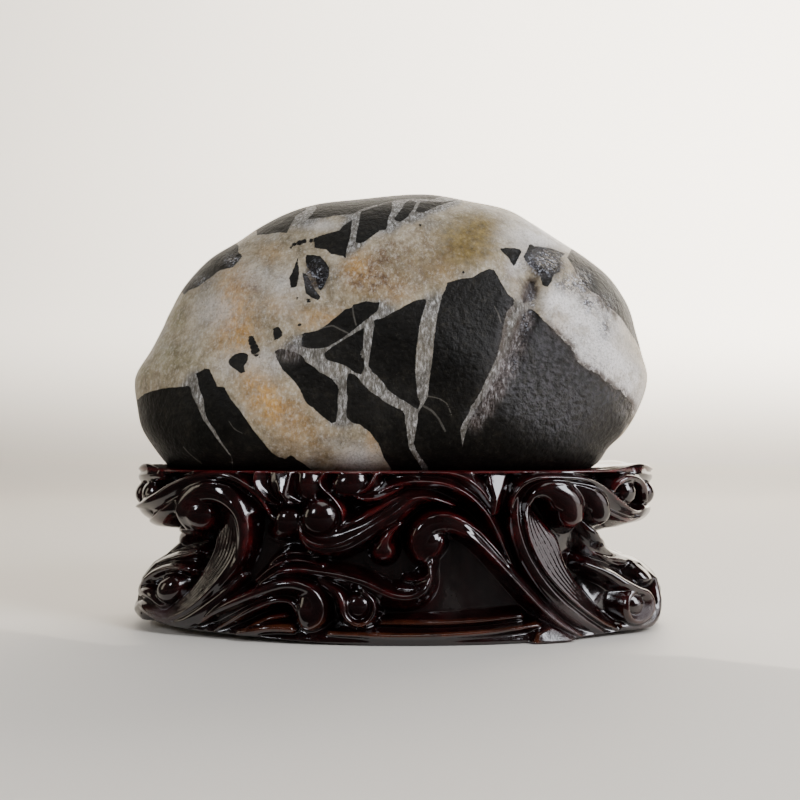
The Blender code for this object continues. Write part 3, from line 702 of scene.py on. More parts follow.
def flare(x, z):
    """The waist cut into both ends, and the feet and the leaves that reach out below and above it."""
    left, right = np.interp(z, FLARE_HEIGHTS, FLARE_OUT_LEFT), np.interp(z, FLARE_HEIGHTS, FLARE_OUT_RIGHT)
    return smooth_step((np.abs(x) - FLARE_FROM) / FLARE_OVER) * np.where(x < 0, left, right)


def rim_height(u):
    """The rim with its swellings."""
    return RIM_HEIGHT + sum(high * smooth_step(1 - np.abs(u - at) / half) for at, half, high in RIM_SWELLS)


# ---------------------------------------------------------------------------- the stone

# Valleys and swellings of the front, in the plane y = 0 as an eye straight in front sees them.
STONE_VALLEYS = [
    ([(86, 268), (94, 256), (100, 243), (97, 228), (90, 212), (80, 194), (68, 172), (56, 155)], 9, 4.5),
    ([(-72, 262), (-64, 252), (-56, 240)], 9, 3.0),
]
STONE_SWELLS = [
    ((112, 252), (22, 26), 2.5), ((150, 215), (26, 55), 3.0), ((118, 165), (45, 45), 3.0),
    ((30, 205), (60, 45), 2.0), ((-120, 150), (60, 45), 2.0), ((-60, 270), (60, 30), -2.0),
    ((-110, 215), (40, 30), 1.5),
]


def section_power(angle):
    """The power of the stone's superellipse section in each direction of its elevation."""
    return STONE_BULGE + STONE_FLAT_BELOW * smooth_step(STONE_FLAT_FROM - np.sin(angle))


def seen_growth(angle):
    """How much larger the stone looks to the eye than its middle section, because its sides come forward."""
    forward = np.linspace(0, 0.99, 100)
    power = section_power(angle)[:, None]
    return np.max((1 - forward**power) ** (1 / power) / (1 - forward * STONE_HALF_DEPTH / EYE_BACK), axis=1)


def outline_table():
    """The stone's own elevation, from the outline that the eye sees, as angles and distances."""
    seen = smooth_path(STONE_OUTLINE + STONE_OUTLINE[:1])
    turn = np.arctan2(seen[:, 1] - STONE_CENTRE[1], seen[:, 0] - STONE_CENTRE[0])
    x, z = ((seen - (0, EYE_HEIGHT)) / seen_growth(turn)[:, None] + (0, EYE_HEIGHT) - STONE_CENTRE).T
    turn = np.arctan2(z, x)
    order = np.argsort(turn)
    return turn[order], np.hypot(x, z)[order]


OUTLINE_TURN, OUTLINE_REACH = outline_table()


def outline_radius(angle):
    """How far the stone's elevation reaches from its centre in that direction."""
    return np.interp(angle, OUTLINE_TURN, OUTLINE_REACH, period=2 * np.pi)


def seen_place(x, y, z):
    """Where the eye sees a point, on the plane y = 0."""
    scale = EYE_BACK / (EYE_BACK + y)
    return x * scale, EYE_HEIGHT + (z - EYE_HEIGHT) * scale


def stone_relief(x, y, z):
    """How far the surface stands out of the plain boulder: valleys along their paths, swellings, and a
    rolling made of sines whose own angles bend with the place."""
    across, up = seen_place(x, y, z)
    facing = smooth_step((FRONT_TO - y) / FRONT_OVER)
    relief = np.zeros_like(x)
    for path, half, deep in STONE_VALLEYS:
        curve = smooth_path(path)
        away = np.full(x.shape, NOWHERE_NEAR)
        for at in curve:
            away = np.minimum(away, np.hypot(across - at[0], up - at[1]))
        relief -= deep * facing * smooth_step(1 - away / half)
    relief += facing * patches(across, up, STONE_SWELLS)
    rolling = np.sin(x / 23 + 1.3 * np.sin(z / 31)) * np.sin(y / 27 + z / 37 + 0.8)
    rolling += 0.6 * np.sin(x / 13 + y / 17 + 2.1) * np.sin(z / 15 - y / 21)
    return relief + ROLLING * rolling * smooth_step((z - ROLLING_ABOVE) / ROLLING_OVER)


# Dark fragments of the old rock, each as (group, corners). Fragments that only a narrow vein parts are
# in different groups, so that the vein between them stays sharp.
FRAGMENTS = {
    "left_cap": (0, [
        (-106, 284.5), (-100, 285), (-90, 286.5), (-84, 286), (-82, 290), (-80, 294), (-77, 299),
        (-70, 303), (-68, 318), (-84, 318), (-100, 308), (-108, 296)]),
    "long_cap": (1, [
        (-69, 296), (-60, 297), (-50, 298.5), (-40, 300), (-34, 300.5), (-31, 302.5), (-26, 304.5),
        (-19, 306.5), (-10, 308.5), (-4, 310), (6, 311.5), (25, 311), (40, 318), (30, 340), (-20, 345),
        (-60, 335), (-66, 318), (-62, 304)]),
    "shard_below_cap": (0, [
        (-29.5, 300), (-29, 302), (-23, 304), (-15, 307), (-6, 309.5), (-6, 303), (-8.5, 298),
        (-10, 289), (-15, 288), (-19, 285), (-22, 283), (-25, 280.5), (-30, 278.5), (-33, 279),
        (-32.5, 285), (-30.5, 293)]),
    "wedge_over_pocket": (1, [
        (-35.5, 296), (-42, 291.5), (-45, 288), (-55, 285.5), (-64.5, 282), (-63.5, 280), (-63.5, 275),
        (-55, 274), (-51, 270.5), (-42, 269), (-40.5, 267), (-39.5, 275), (-37.5, 282), (-36.5, 288)]),
    "lens_near_top": (2, [
        (-5, 296), (-2, 300), (1, 304), (4, 309), (8, 310.5), (12.5, 309), (10, 304), (7, 300),
        (4.5, 297), (0, 294.5)]),
    "right_end_of_cap": (0, [
        (11, 301.5), (14, 307), (15, 309.5), (22, 309.5), (30, 309), (38, 310), (42, 310.5), (34, 308),
        (28, 306), (22, 303.5), (18, 301.5)]),
    "left_shoulder": (2, [
        (-160, 240), (-157, 243.5), (-150, 246), (-145, 250), (-140, 253.5), (-135, 257.5),
        (-130, 259.5), (-124, 260.5), (-120, 265), (-117, 269), (-120, 272), (-120, 277), (-133, 285),
        (-152, 270), (-168, 250)]),
    "spike": (0, [
        (-76, 267.5), (-75.2, 260), (-75, 256), (-76, 250), (-76.8, 246), (-81, 245.5), (-81.5, 248.5),
        (-82.2, 253), (-80, 257), (-78.5, 261)]),
    "sliver": (1, [
        (-72.5, 258), (-69, 255), (-66, 249), (-62.5, 243), (-59, 239), (-60, 235.5), (-65, 238),
        (-70, 241), (-71, 248)]),
    "crumb": (2, [(-70, 239), (-67, 237), (-66, 235), (-69, 234.5)]),
    "pocket": (2, [
        (-70, 270), (-66, 270), (-59, 269), (-55, 264), (-52.5, 260), (-53, 254), (-57, 246),
        (-60, 242), (-61.5, 248), (-63, 254), (-66, 258), (-69.5, 261)]),
    "square_crumb": (0, [
        (-94.5, 216), (-90, 216.5), (-88, 213.5), (-86, 211), (-90, 208), (-91.5, 205), (-93, 205.5),
        (-94, 211)]),
    "peg": (2, [
        (-112.6, 209.6), (-109, 209.8), (-107, 205), (-104.5, 201), (-103.3, 197.5), (-106, 194),
        (-110.3, 195.8), (-111.4, 201), (-113, 206)]),
    "kite": (0, [
        (-128.5, 190), (-124.5, 195), (-119.5, 198), (-113, 196.5), (-112, 192.5), (-115.5, 189),
        (-116, 185), (-113.5, 181), (-115, 179.5), (-120, 183), (-125, 187)]),
    "left_block": (0, [
        (-205, 158), (-197, 161), (-194, 163), (-190, 166.5), (-185, 168.5), (-176, 170.7),
        (-170, 171.5), (-161, 172), (-157, 172.5), (-155.3, 172), (-155, 167), (-152, 161),
        (-149.5, 156), (-147.5, 151), (-145, 146), (-141, 141), (-137, 135), (-133, 129.5),
        (-128, 123.5), (-125, 120), (-122, 90), (-240, 90), (-240, 150)]),
    "second_block": (1, [
        (-152, 182.5), (-149, 183), (-146, 184.5), (-144.5, 186), (-141.5, 185), (-140, 182),
        (-138.5, 179), (-136.5, 175), (-136, 172), (-130.5, 172), (-128, 167), (-125, 162),
        (-120, 156), (-116.5, 151), (-113, 146), (-109, 140), (-105, 135), (-100, 129), (-95, 123),
        (-90, 120), (-85, 118.5), (-80.5, 121.5), (-76, 117.5), (-70, 114), (-64, 108), (-60, 90),
        (-120, 90), (-124, 108), (-124.5, 119), (-129, 126), (-133, 132), (-137, 139), (-141, 145),
        (-144, 150), (-145, 155), (-145.5, 161), (-147, 166), (-149.5, 172), (-150, 178)]),
    "middle_blade": (1, [
        (-92.5, 201), (-93, 197), (-92.5, 195), (-90.5, 191), (-87.5, 185), (-84, 182), (-80, 177.5),
        (-76, 173), (-72, 165), (-69, 159), (-65, 157), (-60, 152), (-55, 148), (-51, 145),
        (-47.5, 145.5), (-47, 151), (-46, 156), (-46.5, 161), (-46, 167), (-45, 171), (-47, 174),
        (-50, 177.5), (-55, 180.5), (-60, 183), (-63, 186), (-66, 188), (-70, 190.5), (-71, 193),
        (-74, 196), (-80, 198), (-86, 200)]),
    "upper_blade": (0, [
        (-73, 211), (-70, 212), (-60, 214), (-55, 217.5), (-52, 220), (-48, 223.5), (-44, 226.5),
        (-40, 230), (-36, 230.5), (-35, 233), (-30, 234), (-26, 235.5), (-19, 234.5), (-15, 235),
        (-16, 230), (-18, 227), (-22, 224.5), (-26, 221), (-30, 218), (-33, 215.5), (-40, 210),
        (-45, 206.5), (-50, 203.5), (-55, 201), (-62, 200), (-69, 200.5), (-73, 202)]),
    "triangle": (2, [
        (-58, 199), (-54, 200.5), (-50, 202), (-45, 205), (-40, 208), (-35, 211), (-30, 214),
        (-26.5, 216), (-27, 208), (-27.5, 202), (-27, 195), (-27, 190), (-26, 186), (-29, 181),
        (-31, 180), (-35, 184), (-40, 187.5), (-45, 189), (-50, 191), (-55, 192), (-57, 195),
        (-56, 198)]),
    "tall_block": (1, [
        (-19.5, 221), (-18, 222), (-13, 223), (-10, 224.5), (-5, 227.5), (0, 230), (5, 233),
        (10, 235.5), (14, 236.5), (18.5, 237), (19.5, 235.5), (18.5, 232), (17, 227), (15.5, 222),
        (14, 215), (13, 206), (12, 200), (11.5, 194), (11.2, 184), (12, 174), (13, 165), (15, 160),
        (14, 156), (12.5, 155), (10, 157), (5, 160.5), (0, 163), (-5, 166.5), (-10, 170.5),
        (-11, 173.5), (-14, 176.5), (-17, 180), (-20, 182.5), (-24, 184.5), (-23.5, 189), (-22.5, 195),
        (-21.5, 203), (-20.5, 208), (-20, 213), (-19, 218)]),
    "big_block": (2, [
        (35, 249.5), (40, 250.5), (45, 252), (54, 253), (59, 256.5), (64, 258.8), (66, 259.5),
        (70, 258.5), (71.5, 256), (73, 253), (75, 249), (78, 244), (80.5, 240), (83.5, 238.5),
        (84.8, 235.5), (84, 232.5), (81.5, 230), (79, 227), (78, 223), (76.5, 217), (75.5, 210),
        (74, 203), (72, 195), (70, 190), (67, 184), (64, 178), (62, 173), (59, 167), (56, 161),
        (53, 159), (50.5, 151), (47, 146), (44.5, 140), (52, 90), (28, 90), (22, 108), (19, 115),
        (15, 120), (12, 125), (10, 130), (11, 135), (12, 141), (13, 147), (13.5, 153), (17, 158.5),
        (20.5, 164), (21, 170), (21.5, 175), (22.5, 182), (23.5, 190), (24.5, 198), (25, 205),
        (26, 213), (27.5, 223), (28.5, 228), (29.5, 233), (31, 239), (33.5, 244)]),
    "foot_block": (0, [
        (-39.5, 179), (-38, 182.5), (-35, 182), (-31, 179.5), (-29, 175.5), (-26, 172.5), (-23, 169),
        (-19, 166.5), (-15, 164), (-11, 160.5), (-6, 158), (-2, 156), (2, 154.5), (3.5, 151), (4, 145),
        (5, 140), (5.5, 134), (7, 126), (12, 118), (18, 108), (22, 90), (-2, 90), (-5, 108),
        (-6.5, 110.5), (-9, 115), (-12, 119), (-14, 125), (-16, 130), (-20, 135), (-23, 139),
        (-27, 141.5), (-30, 144), (-35, 145), (-40, 149.5), (-39.8, 155), (-39.2, 161), (-39.5, 170)]),
    "bird": (0, [
        (74, 274.5), (77, 271), (80, 268.5), (82, 265), (84.5, 261), (87.5, 267), (90, 272), (89, 274),
        (84, 275), (78, 275.2)]),
    "crystal_patch": (1, [
        (96, 278), (100, 276.5), (108, 275.3), (117, 273), (123, 270.5), (119, 268), (119.5, 262),
        (118, 257), (114, 255.5), (112.5, 251), (110, 246), (106, 247), (104, 254), (101, 258),
        (97, 261), (93.5, 265), (91.5, 268.5), (93.5, 272)]),
    "gully": (0, [
        (96, 250), (100, 249.5), (100, 244), (98, 241), (95, 239), (93, 235), (91, 232.5), (91.5, 237),
        (93.5, 243), (95, 247)]),
    "right_block": (1, [
        (100, 228), (96, 230), (92, 226), (89, 219), (86.5, 210), (85, 202), (81, 193.5), (76.5, 185),
        (71.5, 177), (66, 169), (61, 162), (56, 155), (50, 144), (46, 126), (46, 90), (170, 90),
        (150, 112), (155, 120), (159, 128), (162, 134), (166, 140), (170, 146), (171.5, 150),
        (172, 157), (171.5, 160), (169, 163), (166, 166), (164, 169.5), (159, 170.5), (155, 174.5),
        (151, 177), (148.5, 180.5), (145, 182.5), (140, 185), (133, 189), (130.5, 192), (129, 197),
        (127, 201), (120, 208), (115, 213), (110, 218), (105, 223), (101, 227)]),
    "right_edge_band": (0, [
        (124, 268), (128, 262), (131, 255), (136, 248), (141, 243), (147, 240), (153, 233), (160, 227),
        (166, 220), (171, 212), (175, 206), (178, 200), (196, 200), (190, 230), (172, 258), (150, 278),
        (132, 284)]),
}
# Hairlines inside the dark fragments: corners and width.
HAIRLINES = [
    ([(-160, 126.5), (-156, 122), (-149, 116.5)], 0.6), ([(-126, 145), (-123, 140.5), (-118, 138)], 0.6),
    ([(-35, 229.5), (-34.5, 225), (-33, 219.5)], 1.2),
    ([(-57, 216), (-50, 217.5), (-45, 215), (-40, 212.5)], 1.2),
    ([(21, 165), (29, 163.5), (35, 159.5), (37.5, 153)], 0.9),
    ([(17, 158), (24, 154), (29, 148), (33, 140)], 1.6), ([(57, 152), (52, 145), (47, 136)], 1.2),
    ([(71, 230), (73, 226), (74.5, 221)], 1.0), ([(-28, 303), (-17, 306), (-6, 309.5)], 0.9),
]
# Small dark specks in the quartz: place and radius.
SPECKS = [
    (-81, 275.5, 1.0), (-78.5, 277.8, 1.5), (-74.5, 279, 1.9), (-71, 280, 1.7), (-66, 280.5, 1.6),
    (-76, 237.5, 1.2), (-133.5, 186.6, 1.2), (47, 257, 1.1), (15, 292, 1.0), (152.8, 232.5, 1.2),
    (-74.5, 218, 1.4), (-112, 181, 1.2),
]
# Stains and tints of the quartz: centre, radii, strength.
OCHRE = [
    ((-122, 240), (22, 36), 1.0), ((-122, 210), (28, 28), 0.95), ((-98, 160), (24, 26), 1.0),
    ((-82, 148), (26, 30), 0.6), ((-110, 175), (20, 22), 0.8), ((-60, 222), (30, 14), 0.75),
    ((-30, 258), (22, 24), 1.0), ((-5, 245), (26, 20), 0.5), ((-20, 128), (9, 20), 0.7),
    ((-95, 270), (20, 14), 0.35), ((118, 216), (8, 16), 0.3), ((-92, 232), (26, 18), 0.4),
    ((30, 258), (20, 14), 0.4), ((-65, 135), (26, 24), 0.35),
]
GOLDEN = [
    ((52, 284), (32, 26), 0.95), ((44, 268), (30, 18), 0.7), ((64, 292), (22, 16), 0.55),
    ((12, 262), (34, 26), 0.5), ((-30, 240), (30, 16), 0.4), ((30, 285), (26, 20), 0.35),
    ((70, 270), (18, 14), 0.35),
]
BROWN = [
    ((-112, 248), (20, 13), 0.85), ((-30, 250), (18, 14), 0.6), ((-6, 272), (17, 14), 0.9),
    ((-15, 252), (42, 20), 0.5), ((-16, 264), (14, 12), 0.7), ((8, 292), (16, 12), 0.5),
    ((5, 262), (50, 36), 0.75), ((-20, 246), (30, 18), 0.5), ((-48, 240), (20, 12), 0.3),
    ((-75, 150), (24, 30), 0.25), ((35, 270), (16, 14), 0.45), ((-85, 125), (18, 12), 0.5),
    ((-104, 246), (8, 6), 0.6), ((70, 172), (10, 18), 0.6), ((60, 156), (9, 14), 0.9),
    ((20, 282), (14, 14), 0.3), ((79, 260), (4, 5), 0.9), ((83, 255), (4, 5), 0.9),
    ((88, 251), (4, 5), 0.8), ((-45, 232), (22, 8), 0.3), ((104, 222), (6, 14), 0.5),
    ((116, 210), (9, 12), 0.35), ((126, 196), (10, 9), 0.35), ((138, 186), (10, 7), 0.3),
    ((100, 245), (7, 10), 0.6), ((84, 255), (5, 8), 0.6),
]
PALE = [
    ((108, 286), (48, 26), 1.0), ((140, 212), (42, 58), 1.3), ((155, 180), (34, 30), 1.2),
    ((172, 165), (18, 34), 0.8), ((-85, 245), (20, 30), 0.35), ((-30, 118), (26, 18), 0.7),
    ((-136, 230), (28, 26), 0.5), ((-95, 190), (18, 16), 0.5), ((-120, 190), (26, 16), 0.4),
    ((-110, 255), (26, 18), 0.3), ((86, 262), (12, 12), 0.9), ((116, 236), (20, 18), 0.8),
    ((-18, 290), (12, 10), 0.5), ((-60, 292), (24, 7), 0.5),
]
MOSS = [
    ((-168, 222), (14, 18), 0.8), ((-176, 200), (14, 18), 0.6), ((-192, 184), (12, 16), 0.9),
    ((-160, 238), (10, 10), 0.5), ((172, 148), (8, 20), 0.6), ((-145, 242), (14, 10), 0.25),
    ((-125, 264), (10, 6), 0.6), ((-165, 190), (26, 22), 0.5),
]
# Where the crystals lie, dark glassy rock whose bright chips are painted glints: centre, radii, strength.
CRYSTAL = [
    ((-62, 254), (12, 16), 1.0), ((108, 264), (20, 16), 1.1), ((134, 250), (14, 14), 0.7),
    ((-125, 266), (9, 7), 0.9), ((-146, 250), (10, 7), 0.6), ((98, 236), (6, 14), 0.7),
    ((92, 216), (5, 12), 0.5), ((84, 190), (5, 10), 0.6), ((-78, 206), (11, 7), 0.5),
    ((-48, 254), (9, 14), 0.35), ((152, 232), (10, 12), 0.4), ((124, 248), (16, 12), 0.9),
    ((140, 234), (12, 13), 0.9), ((152, 216), (9, 16), 0.8), ((90, 262), (10, 10), 0.4),
    ((94, 222), (8, 12), 0.5),
]
# Where the slate is rough and crusted, and where it gets its painted glints: centre, radii, strength.
ROUGH = [
    ((108, 264), (20, 16), 1.0), ((-64, 254), (11, 15), 0.8), ((115, 180), (62, 60), 0.9),
    ((84, 205), (14, 46), 0.8), ((95, 245), (12, 16), 0.9), ((134, 250), (14, 16), 0.9),
    ((152, 230), (16, 24), 0.7), ((130, 150), (60, 36), 0.25), ((122, 206), (20, 15), 0.5),
    ((138, 188), (22, 14), 0.6), ((156, 172), (20, 14), 0.75), ((168, 158), (14, 16), 0.8),
    ((174, 140), (10, 18), 0.6),
]
# Where the dark rock is paler: partly its own paler rock, partly painted sheen where light grazes the
# top and the right edge. Centre, radii, strength.
GREYED_AND_SHEEN = [
    ((-88, 294), (30, 14), 0.5), ((-30, 312), (70, 12), 0.75), ((155, 245), (36, 40), 1.3),
    ((-86, 194), (14, 9), 0.6), ((130, 170), (60, 50), 0.18), ((-148, 258), (22, 16), 0.35),
]
# Where dark rock and quartz lie mixed in streaks, beside the crease.
STREAKED = [
    ((94, 221), (8, 13), 1.2), ((87, 204), (10, 16), 1.4), ((80, 187), (11, 16), 1.4),
    ((72, 172), (11, 15), 1.4), ((64, 158), (10, 14), 1.2), ((56, 146), (8, 12), 0.9),
    ((-82, 197), (18, 9), 0.7), ((96, 240), (9, 12), 0.8),
]
# Fragments too small to make veins between them.
CRUMBS = {
    "spike", "sliver", "crumb", "pocket", "square_crumb", "peg", "kite", "bird", "crystal_patch",
    "gully", "right_edge_band", "left_shoulder",
}
# Distances to an outline are held within this.
FAR = 30.0
# A hairline's mark reaches so far from it, and fades over the last of that.
HAIR_REACH = 2.6
HAIR_FADE = 1.2
# Quartz as narrow as this is a vein, and it turns into one over the last of that.
VEIN_WIDTH = 19.0
VEIN_FADE = 9.0
# Behind this depth the markings spread past the outline, and there the back's own take over.
SPREAD_FROM = -18.0
SPREAD = 0.9
BACK_FROM = 5.0
BACK_OVER = 45.0
BACK_SEED = 7
CELL_STEPS = (52.0, 46.0)
CELL_SCATTER = 17.0
# A mark's strength is held within this.
STRONGEST = 1.2
LEAST_AWAY = 1e-6
# The crease leans this far from upright, in radians.
CREASE_LEAN = -0.51


def outline_distance(across, up, corners):
    """Distance to a closed outline, negative inside: the nearest edge, and crossings to the right for the
    sign."""
    corners = np.asarray(corners, float)
    distance = np.full(across.shape, FAR)
    low, high = corners.min(0) - FAR, corners.max(0) + FAR
    near = (across > low[0]) & (across < high[0]) & (up > low[1]) & (up < high[1])
    x, z = across[near], up[near]
    found, inside = np.full(x.shape, FAR), np.zeros(x.shape, bool)
    for a, b in zip(corners, np.roll(corners, -1, axis=0)):
        found = np.minimum(found, np.hypot(*nearest_on_leg(x, z, a, b)[1:]))
        dx, dz = b - a
        if dz:
            inside ^= ((a[1] > z) != (b[1] > z)) & (x < a[0] + (z - a[1]) / dz * dx)
    distance[near] = np.where(inside, -found, found)
    return distance


def hairlines(across, up):
    """The distance to the nearest hairline in half widths, negative on its right, and 1 near a line.
    A signed distance runs straight through a thin line, so it stays sharp between the mesh's points."""
    found, signed = np.full(across.shape, FAR), np.full(across.shape, FAR)
    for corners, width in HAIRLINES:
        for a, b in zip(np.array(corners[:-1]), np.array(corners[1:])):
            dx, dz = b - a
            side = (dx * (up - a[1]) - dz * (across - a[0])) / np.hypot(dx, dz)
            away = np.hypot(*nearest_on_leg(across, up, a, b)[1:])
            signed = np.where(away < found, side / (width / 2), signed)
            found = np.minimum(found, away)
    return signed, smooth_step((HAIR_REACH - found) / HAIR_FADE)


def back_pattern(x, y, z):
    """The back's own broken rock: straight-sided cells round scattered seeds, parted by veins, under a
    slanting body of quartz. Returns the distance to dark rock and how narrow the quartz is."""
    # The seeds, on a scattered grid.
    draw = np.random.default_rng(BACK_SEED)
    column, row = np.meshgrid(np.arange(-4, 5), np.arange(-2, 4))
    seeds = np.column_stack([column.ravel() * CELL_STEPS[0], 200 + row.ravel() * CELL_STEPS[1]])
    seeds += draw.uniform(-CELL_SCATTER, CELL_SCATTER, seeds.shape)
    # The place is bent before it is measured, so that no edge is quite straight.
    x = x + 5 * np.sin(z / 17) + 3 * np.sin(x / 9 + 1)
    z = z + 4 * np.sin(x / 21 + 2) + 2 * np.sin(z / 8)
    u, v = x + 0.35 * z - 70, z - 0.2 * x
    away = np.sort(np.hypot(u[:, None] - seeds[:, 0], (v[:, None] - seeds[:, 1]) * 1.3), axis=1)
    # A vein runs where the two nearest seeds are about as near, and swells and closes along its way.
    vein = np.clip(1.6 + 4.0 * np.sin(x / 37 + 0.6) * np.sin(z / 29), -2.5, 3.0)
    cells = vein - 0.5 * (away[:, 1] - away[:, 0])
    # The quartz: everything above a bent slanting line, and a tail that hangs from it.
    body = z - 232 + 0.42 * x + 14 * np.sin(x / 33) + 5 * np.sin(x / 11 + z / 13)
    tail = 15 - np.abs(x - 60 + 0.9 * (z - 150) + 6 * np.sin(z / 12))
    quartz = np.maximum(body * 0.8, np.minimum(tail, 190 - z))
    return np.clip(np.maximum(cells, quartz), -FAR, FAR), smooth_step((-2 - quartz) / 6)


def stone_marks(points):
    """The value of every marking at the points: three distances to dark rock in mm, negative inside, and
    strengths from 0 up. Past the outline the elevation is carried on outwards, and gives way to the
    back's."""
    x, y, z = points.T
    across, up = seen_place(x, y, z)
    away = np.hypot(across - STONE_CENTRE[0], up - STONE_CENTRE[1]) + LEAST_AWAY
    past = SPREAD * np.maximum(0, y - SPREAD_FROM)
    across = across + past * (across - STONE_CENTRE[0]) / away
    up = up + past * (up - STONE_CENTRE[1]) / away
    groups, blocks = np.full((3, len(x)), FAR), np.full((3, len(x)), FAR)
    for name, (group, corners) in FRAGMENTS.items():
        distance = outline_distance(across, up, corners)
        groups[group] = np.minimum(groups[group], distance)
        if name not in CRUMBS:
            blocks[group] = np.minimum(blocks[group], distance)
    for x0, z0, radius in SPECKS:
        groups[1] = np.minimum(groups[1], np.hypot(across - x0, up - z0) - radius)
    width = np.sort(np.maximum(blocks, 0), axis=0)[:2].sum(0)
    hair, hair_shown = hairlines(across, up)
    back = smooth_step((y - BACK_FROM) / BACK_OVER)
    dark_back, narrow_back = back_pattern(x, y, z)
    groups = groups * (1 - back) + FAR * back
    groups[0] = groups[0] - FAR * back + dark_back * back
    front = 1 - back
    marks = {f"dark_{letter}": values for letter, values in zip("abc", groups)}
    marks["hair"], marks["hair_shown"] = hair, hair_shown * front
    marks["narrow"] = smooth_step((VEIN_WIDTH - width) / VEIN_FADE) * front + narrow_back * back
    patchwork = {
        "ochre": OCHRE, "golden": GOLDEN, "brown": BROWN, "pale": PALE, "moss": MOSS, "crystal": CRYSTAL,
        "rough": ROUGH, "greyed_and_sheen": GREYED_AND_SHEEN, "streaked": STREAKED,
    }
    for name, places in patchwork.items():
        marks[name] = np.clip(patches(across, up, places) * front, 0, STRONGEST)
    marks["ochre"] += back * 0.5 * smooth_step(np.sin(x / 41 + 1) * np.sin(z / 37))
    return marks


def stone_surface(directions):
    """Moves a unit sphere's points onto the boulder.

    In elevation it is the outline. Across, each section is a superellipse, squarer underneath.
    """
    nx, ny, nz = directions.T
    flat = np.hypot(nx, nz)
    angle = np.arctan2(nz, nx)
    power = section_power(angle)
    reach = outline_radius(angle) * flat ** (2 / power)
    y = STONE_HALF_DEPTH * np.sign(ny) * np.abs(ny) ** (2 / power)
    x = STONE_CENTRE[0] + reach * np.cos(angle)
    z = STONE_CENTRE[1] + reach * np.sin(angle)
    out = stone_relief(x, y, z)
    return np.column_stack([x + nx * out, y + ny * out, z + nz * out])


# ---------------------------------------------------------------------------- meshes

def closed_grid(name, points, columns):
    """A mesh from rows of points that run round it, each row closing on itself. The first and last
    point are poles."""
    rows = (len(points) - 2) // columns
    first = 1 + np.arange(rows - 1)[:, None] * columns
    at, after = np.arange(columns), np.roll(np.arange(columns), -1)
    quads = np.stack([first + at, first + after, first + columns + after, first + columns + at], -1)
    quads = quads.reshape(-1, 4)
    start = np.stack([np.zeros(columns, int), 1 + after, 1 + at], -1)
    last = len(points) - 1
    end = np.stack([np.full(columns, last), last - columns + at, last - columns + after], -1)
    loops = np.concatenate([start.ravel(), quads.ravel(), end.ravel()])
    sizes = np.concatenate([np.full(columns, 3), np.full(len(quads), 4), np.full(columns, 3)])
    mesh = bpy.data.meshes.new(name)
    mesh.vertices.add(len(points))
    mesh.vertices.foreach_set("co", (points * MM).astype(np.float32).ravel())
    mesh.loops.add(len(loops))
    mesh.loops.foreach_set("vertex_index", loops.astype(np.int32))
    mesh.polygons.add(len(sizes))
    mesh.polygons.foreach_set("loop_start", np.concatenate([[0], np.cumsum(sizes)[:-1]]).astype(np.int32))
    mesh.update(calc_edges=True)
    mesh.shade_smooth()
    return mesh


def mark(mesh, name, values):
    """Keeps one value for each point, for the material to read."""
    made = mesh.attributes.new(name, "FLOAT", "POINT")
    made.data.foreach_set("value", np.ascontiguousarray(values, np.float32))


def placed(name, data):
    """A new object in the scene."""
    made = bpy.data.objects.new(name, data)
    bpy.context.scene.collection.objects.link(made)
    return made


def add_piece(name, mesh, material, node):
    """A piece that takes a node's place."""
    piece = placed(name, mesh)
    mesh.materials.append(material)
    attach(piece, "root")
    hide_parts(node)
    return piece


def stone_mesh():
    """The boulder on a grid whose poles are its left and right ends. The steps along it are closer in the
    middle, t - crowding sin(pi t) / pi, and those round it closer on the front, b - crowding sin(b - b0)."""
    t = np.linspace(-1, 1, STONE_RINGS + 2)[1:-1]
    lean = np.pi / 2 * (t - RINGS_CROWDED * np.sin(np.pi * t) / np.pi)
    b = np.linspace(0, 2 * np.pi, STONE_ROUND, endpoint=False)
    b = b - ROUND_CROWDED * np.sin(b - np.radians(CROWDED_AT))
    lean, b = np.meshgrid(lean, b, indexing="ij")
    directions = np.stack([np.sin(lean), -np.cos(lean) * np.cos(b), np.cos(lean) * np.sin(b)], -1)
    directions = np.vstack([[-1, 0, 0], directions.reshape(-1, 3), [1, 0, 0]])
    points = stone_surface(directions)
    mesh = closed_grid("stone", points, STONE_ROUND)
    for name, values in stone_marks(points).items():
        mark(mesh, name, values)
    return mesh


def stone_underside(x, y):
    """The height of the stone's lower surface over a plan point, or far above where the stone isn't.
    The surface is where the section through y, shrunk by its superellipse, reaches the outline: halved
    between the stone's centre and its foot until it is found."""
    low, high = np.full(x.shape, BELOW_STONE), np.full(x.shape, STONE_CENTRE[1])
    for _ in range(HALVINGS):
        z = (low + high) / 2
        angle = np.arctan2(z - STONE_CENTRE[1], x - STONE_CENTRE[0])
        power = section_power(angle)
        across = np.minimum(1, np.abs(y) / STONE_HALF_DEPTH)
        shrink = np.maximum(NARROWEST, 1 - across**power) ** (1 / power)
        inside = np.hypot(x - STONE_CENTRE[0], z - STONE_CENTRE[1]) < outline_radius(angle) * shrink
        high = np.where(inside, z, high)
        low = np.where(inside, low, z)
    return np.where(high > STONE_CENTRE[1] - 1, FAR_ABOVE, high)


def wall_raster():
    """The carving over the front half of the wall: how far it stands out, and its sharp edges, its pits
    for the painted shade, its pitted gloss, and the recess with its painted sheen."""
    u = np.linspace(-GIRTH / 4, GIRTH / 4, WALL_COLUMNS + 1)
    z = np.linspace(0, RIM_HEIGHT + RASTER_PAST_RIM, WALL_ROWS + 1)
    grid_u, grid_z = np.meshgrid(u, z, indexing="ij")
    level = softened(carving(grid_u.ravel(), grid_z.ravel()).reshape(grid_u.shape), 1)
    level = fine_carving(grid_u, grid_z, level)
    fields = {
        "out": level,
        "edge": level - softened(level, EDGE_REACH),
        "pit": softened(level, PIT_REACH) - level,
        "pitted": np.minimum(1, patches(grid_u, grid_z, PITTED)),
        "recess_sheen": np.minimum(1, patches(grid_u, grid_z, RECESS_SHEEN_PLACES)),
    }
    return u, z, fields


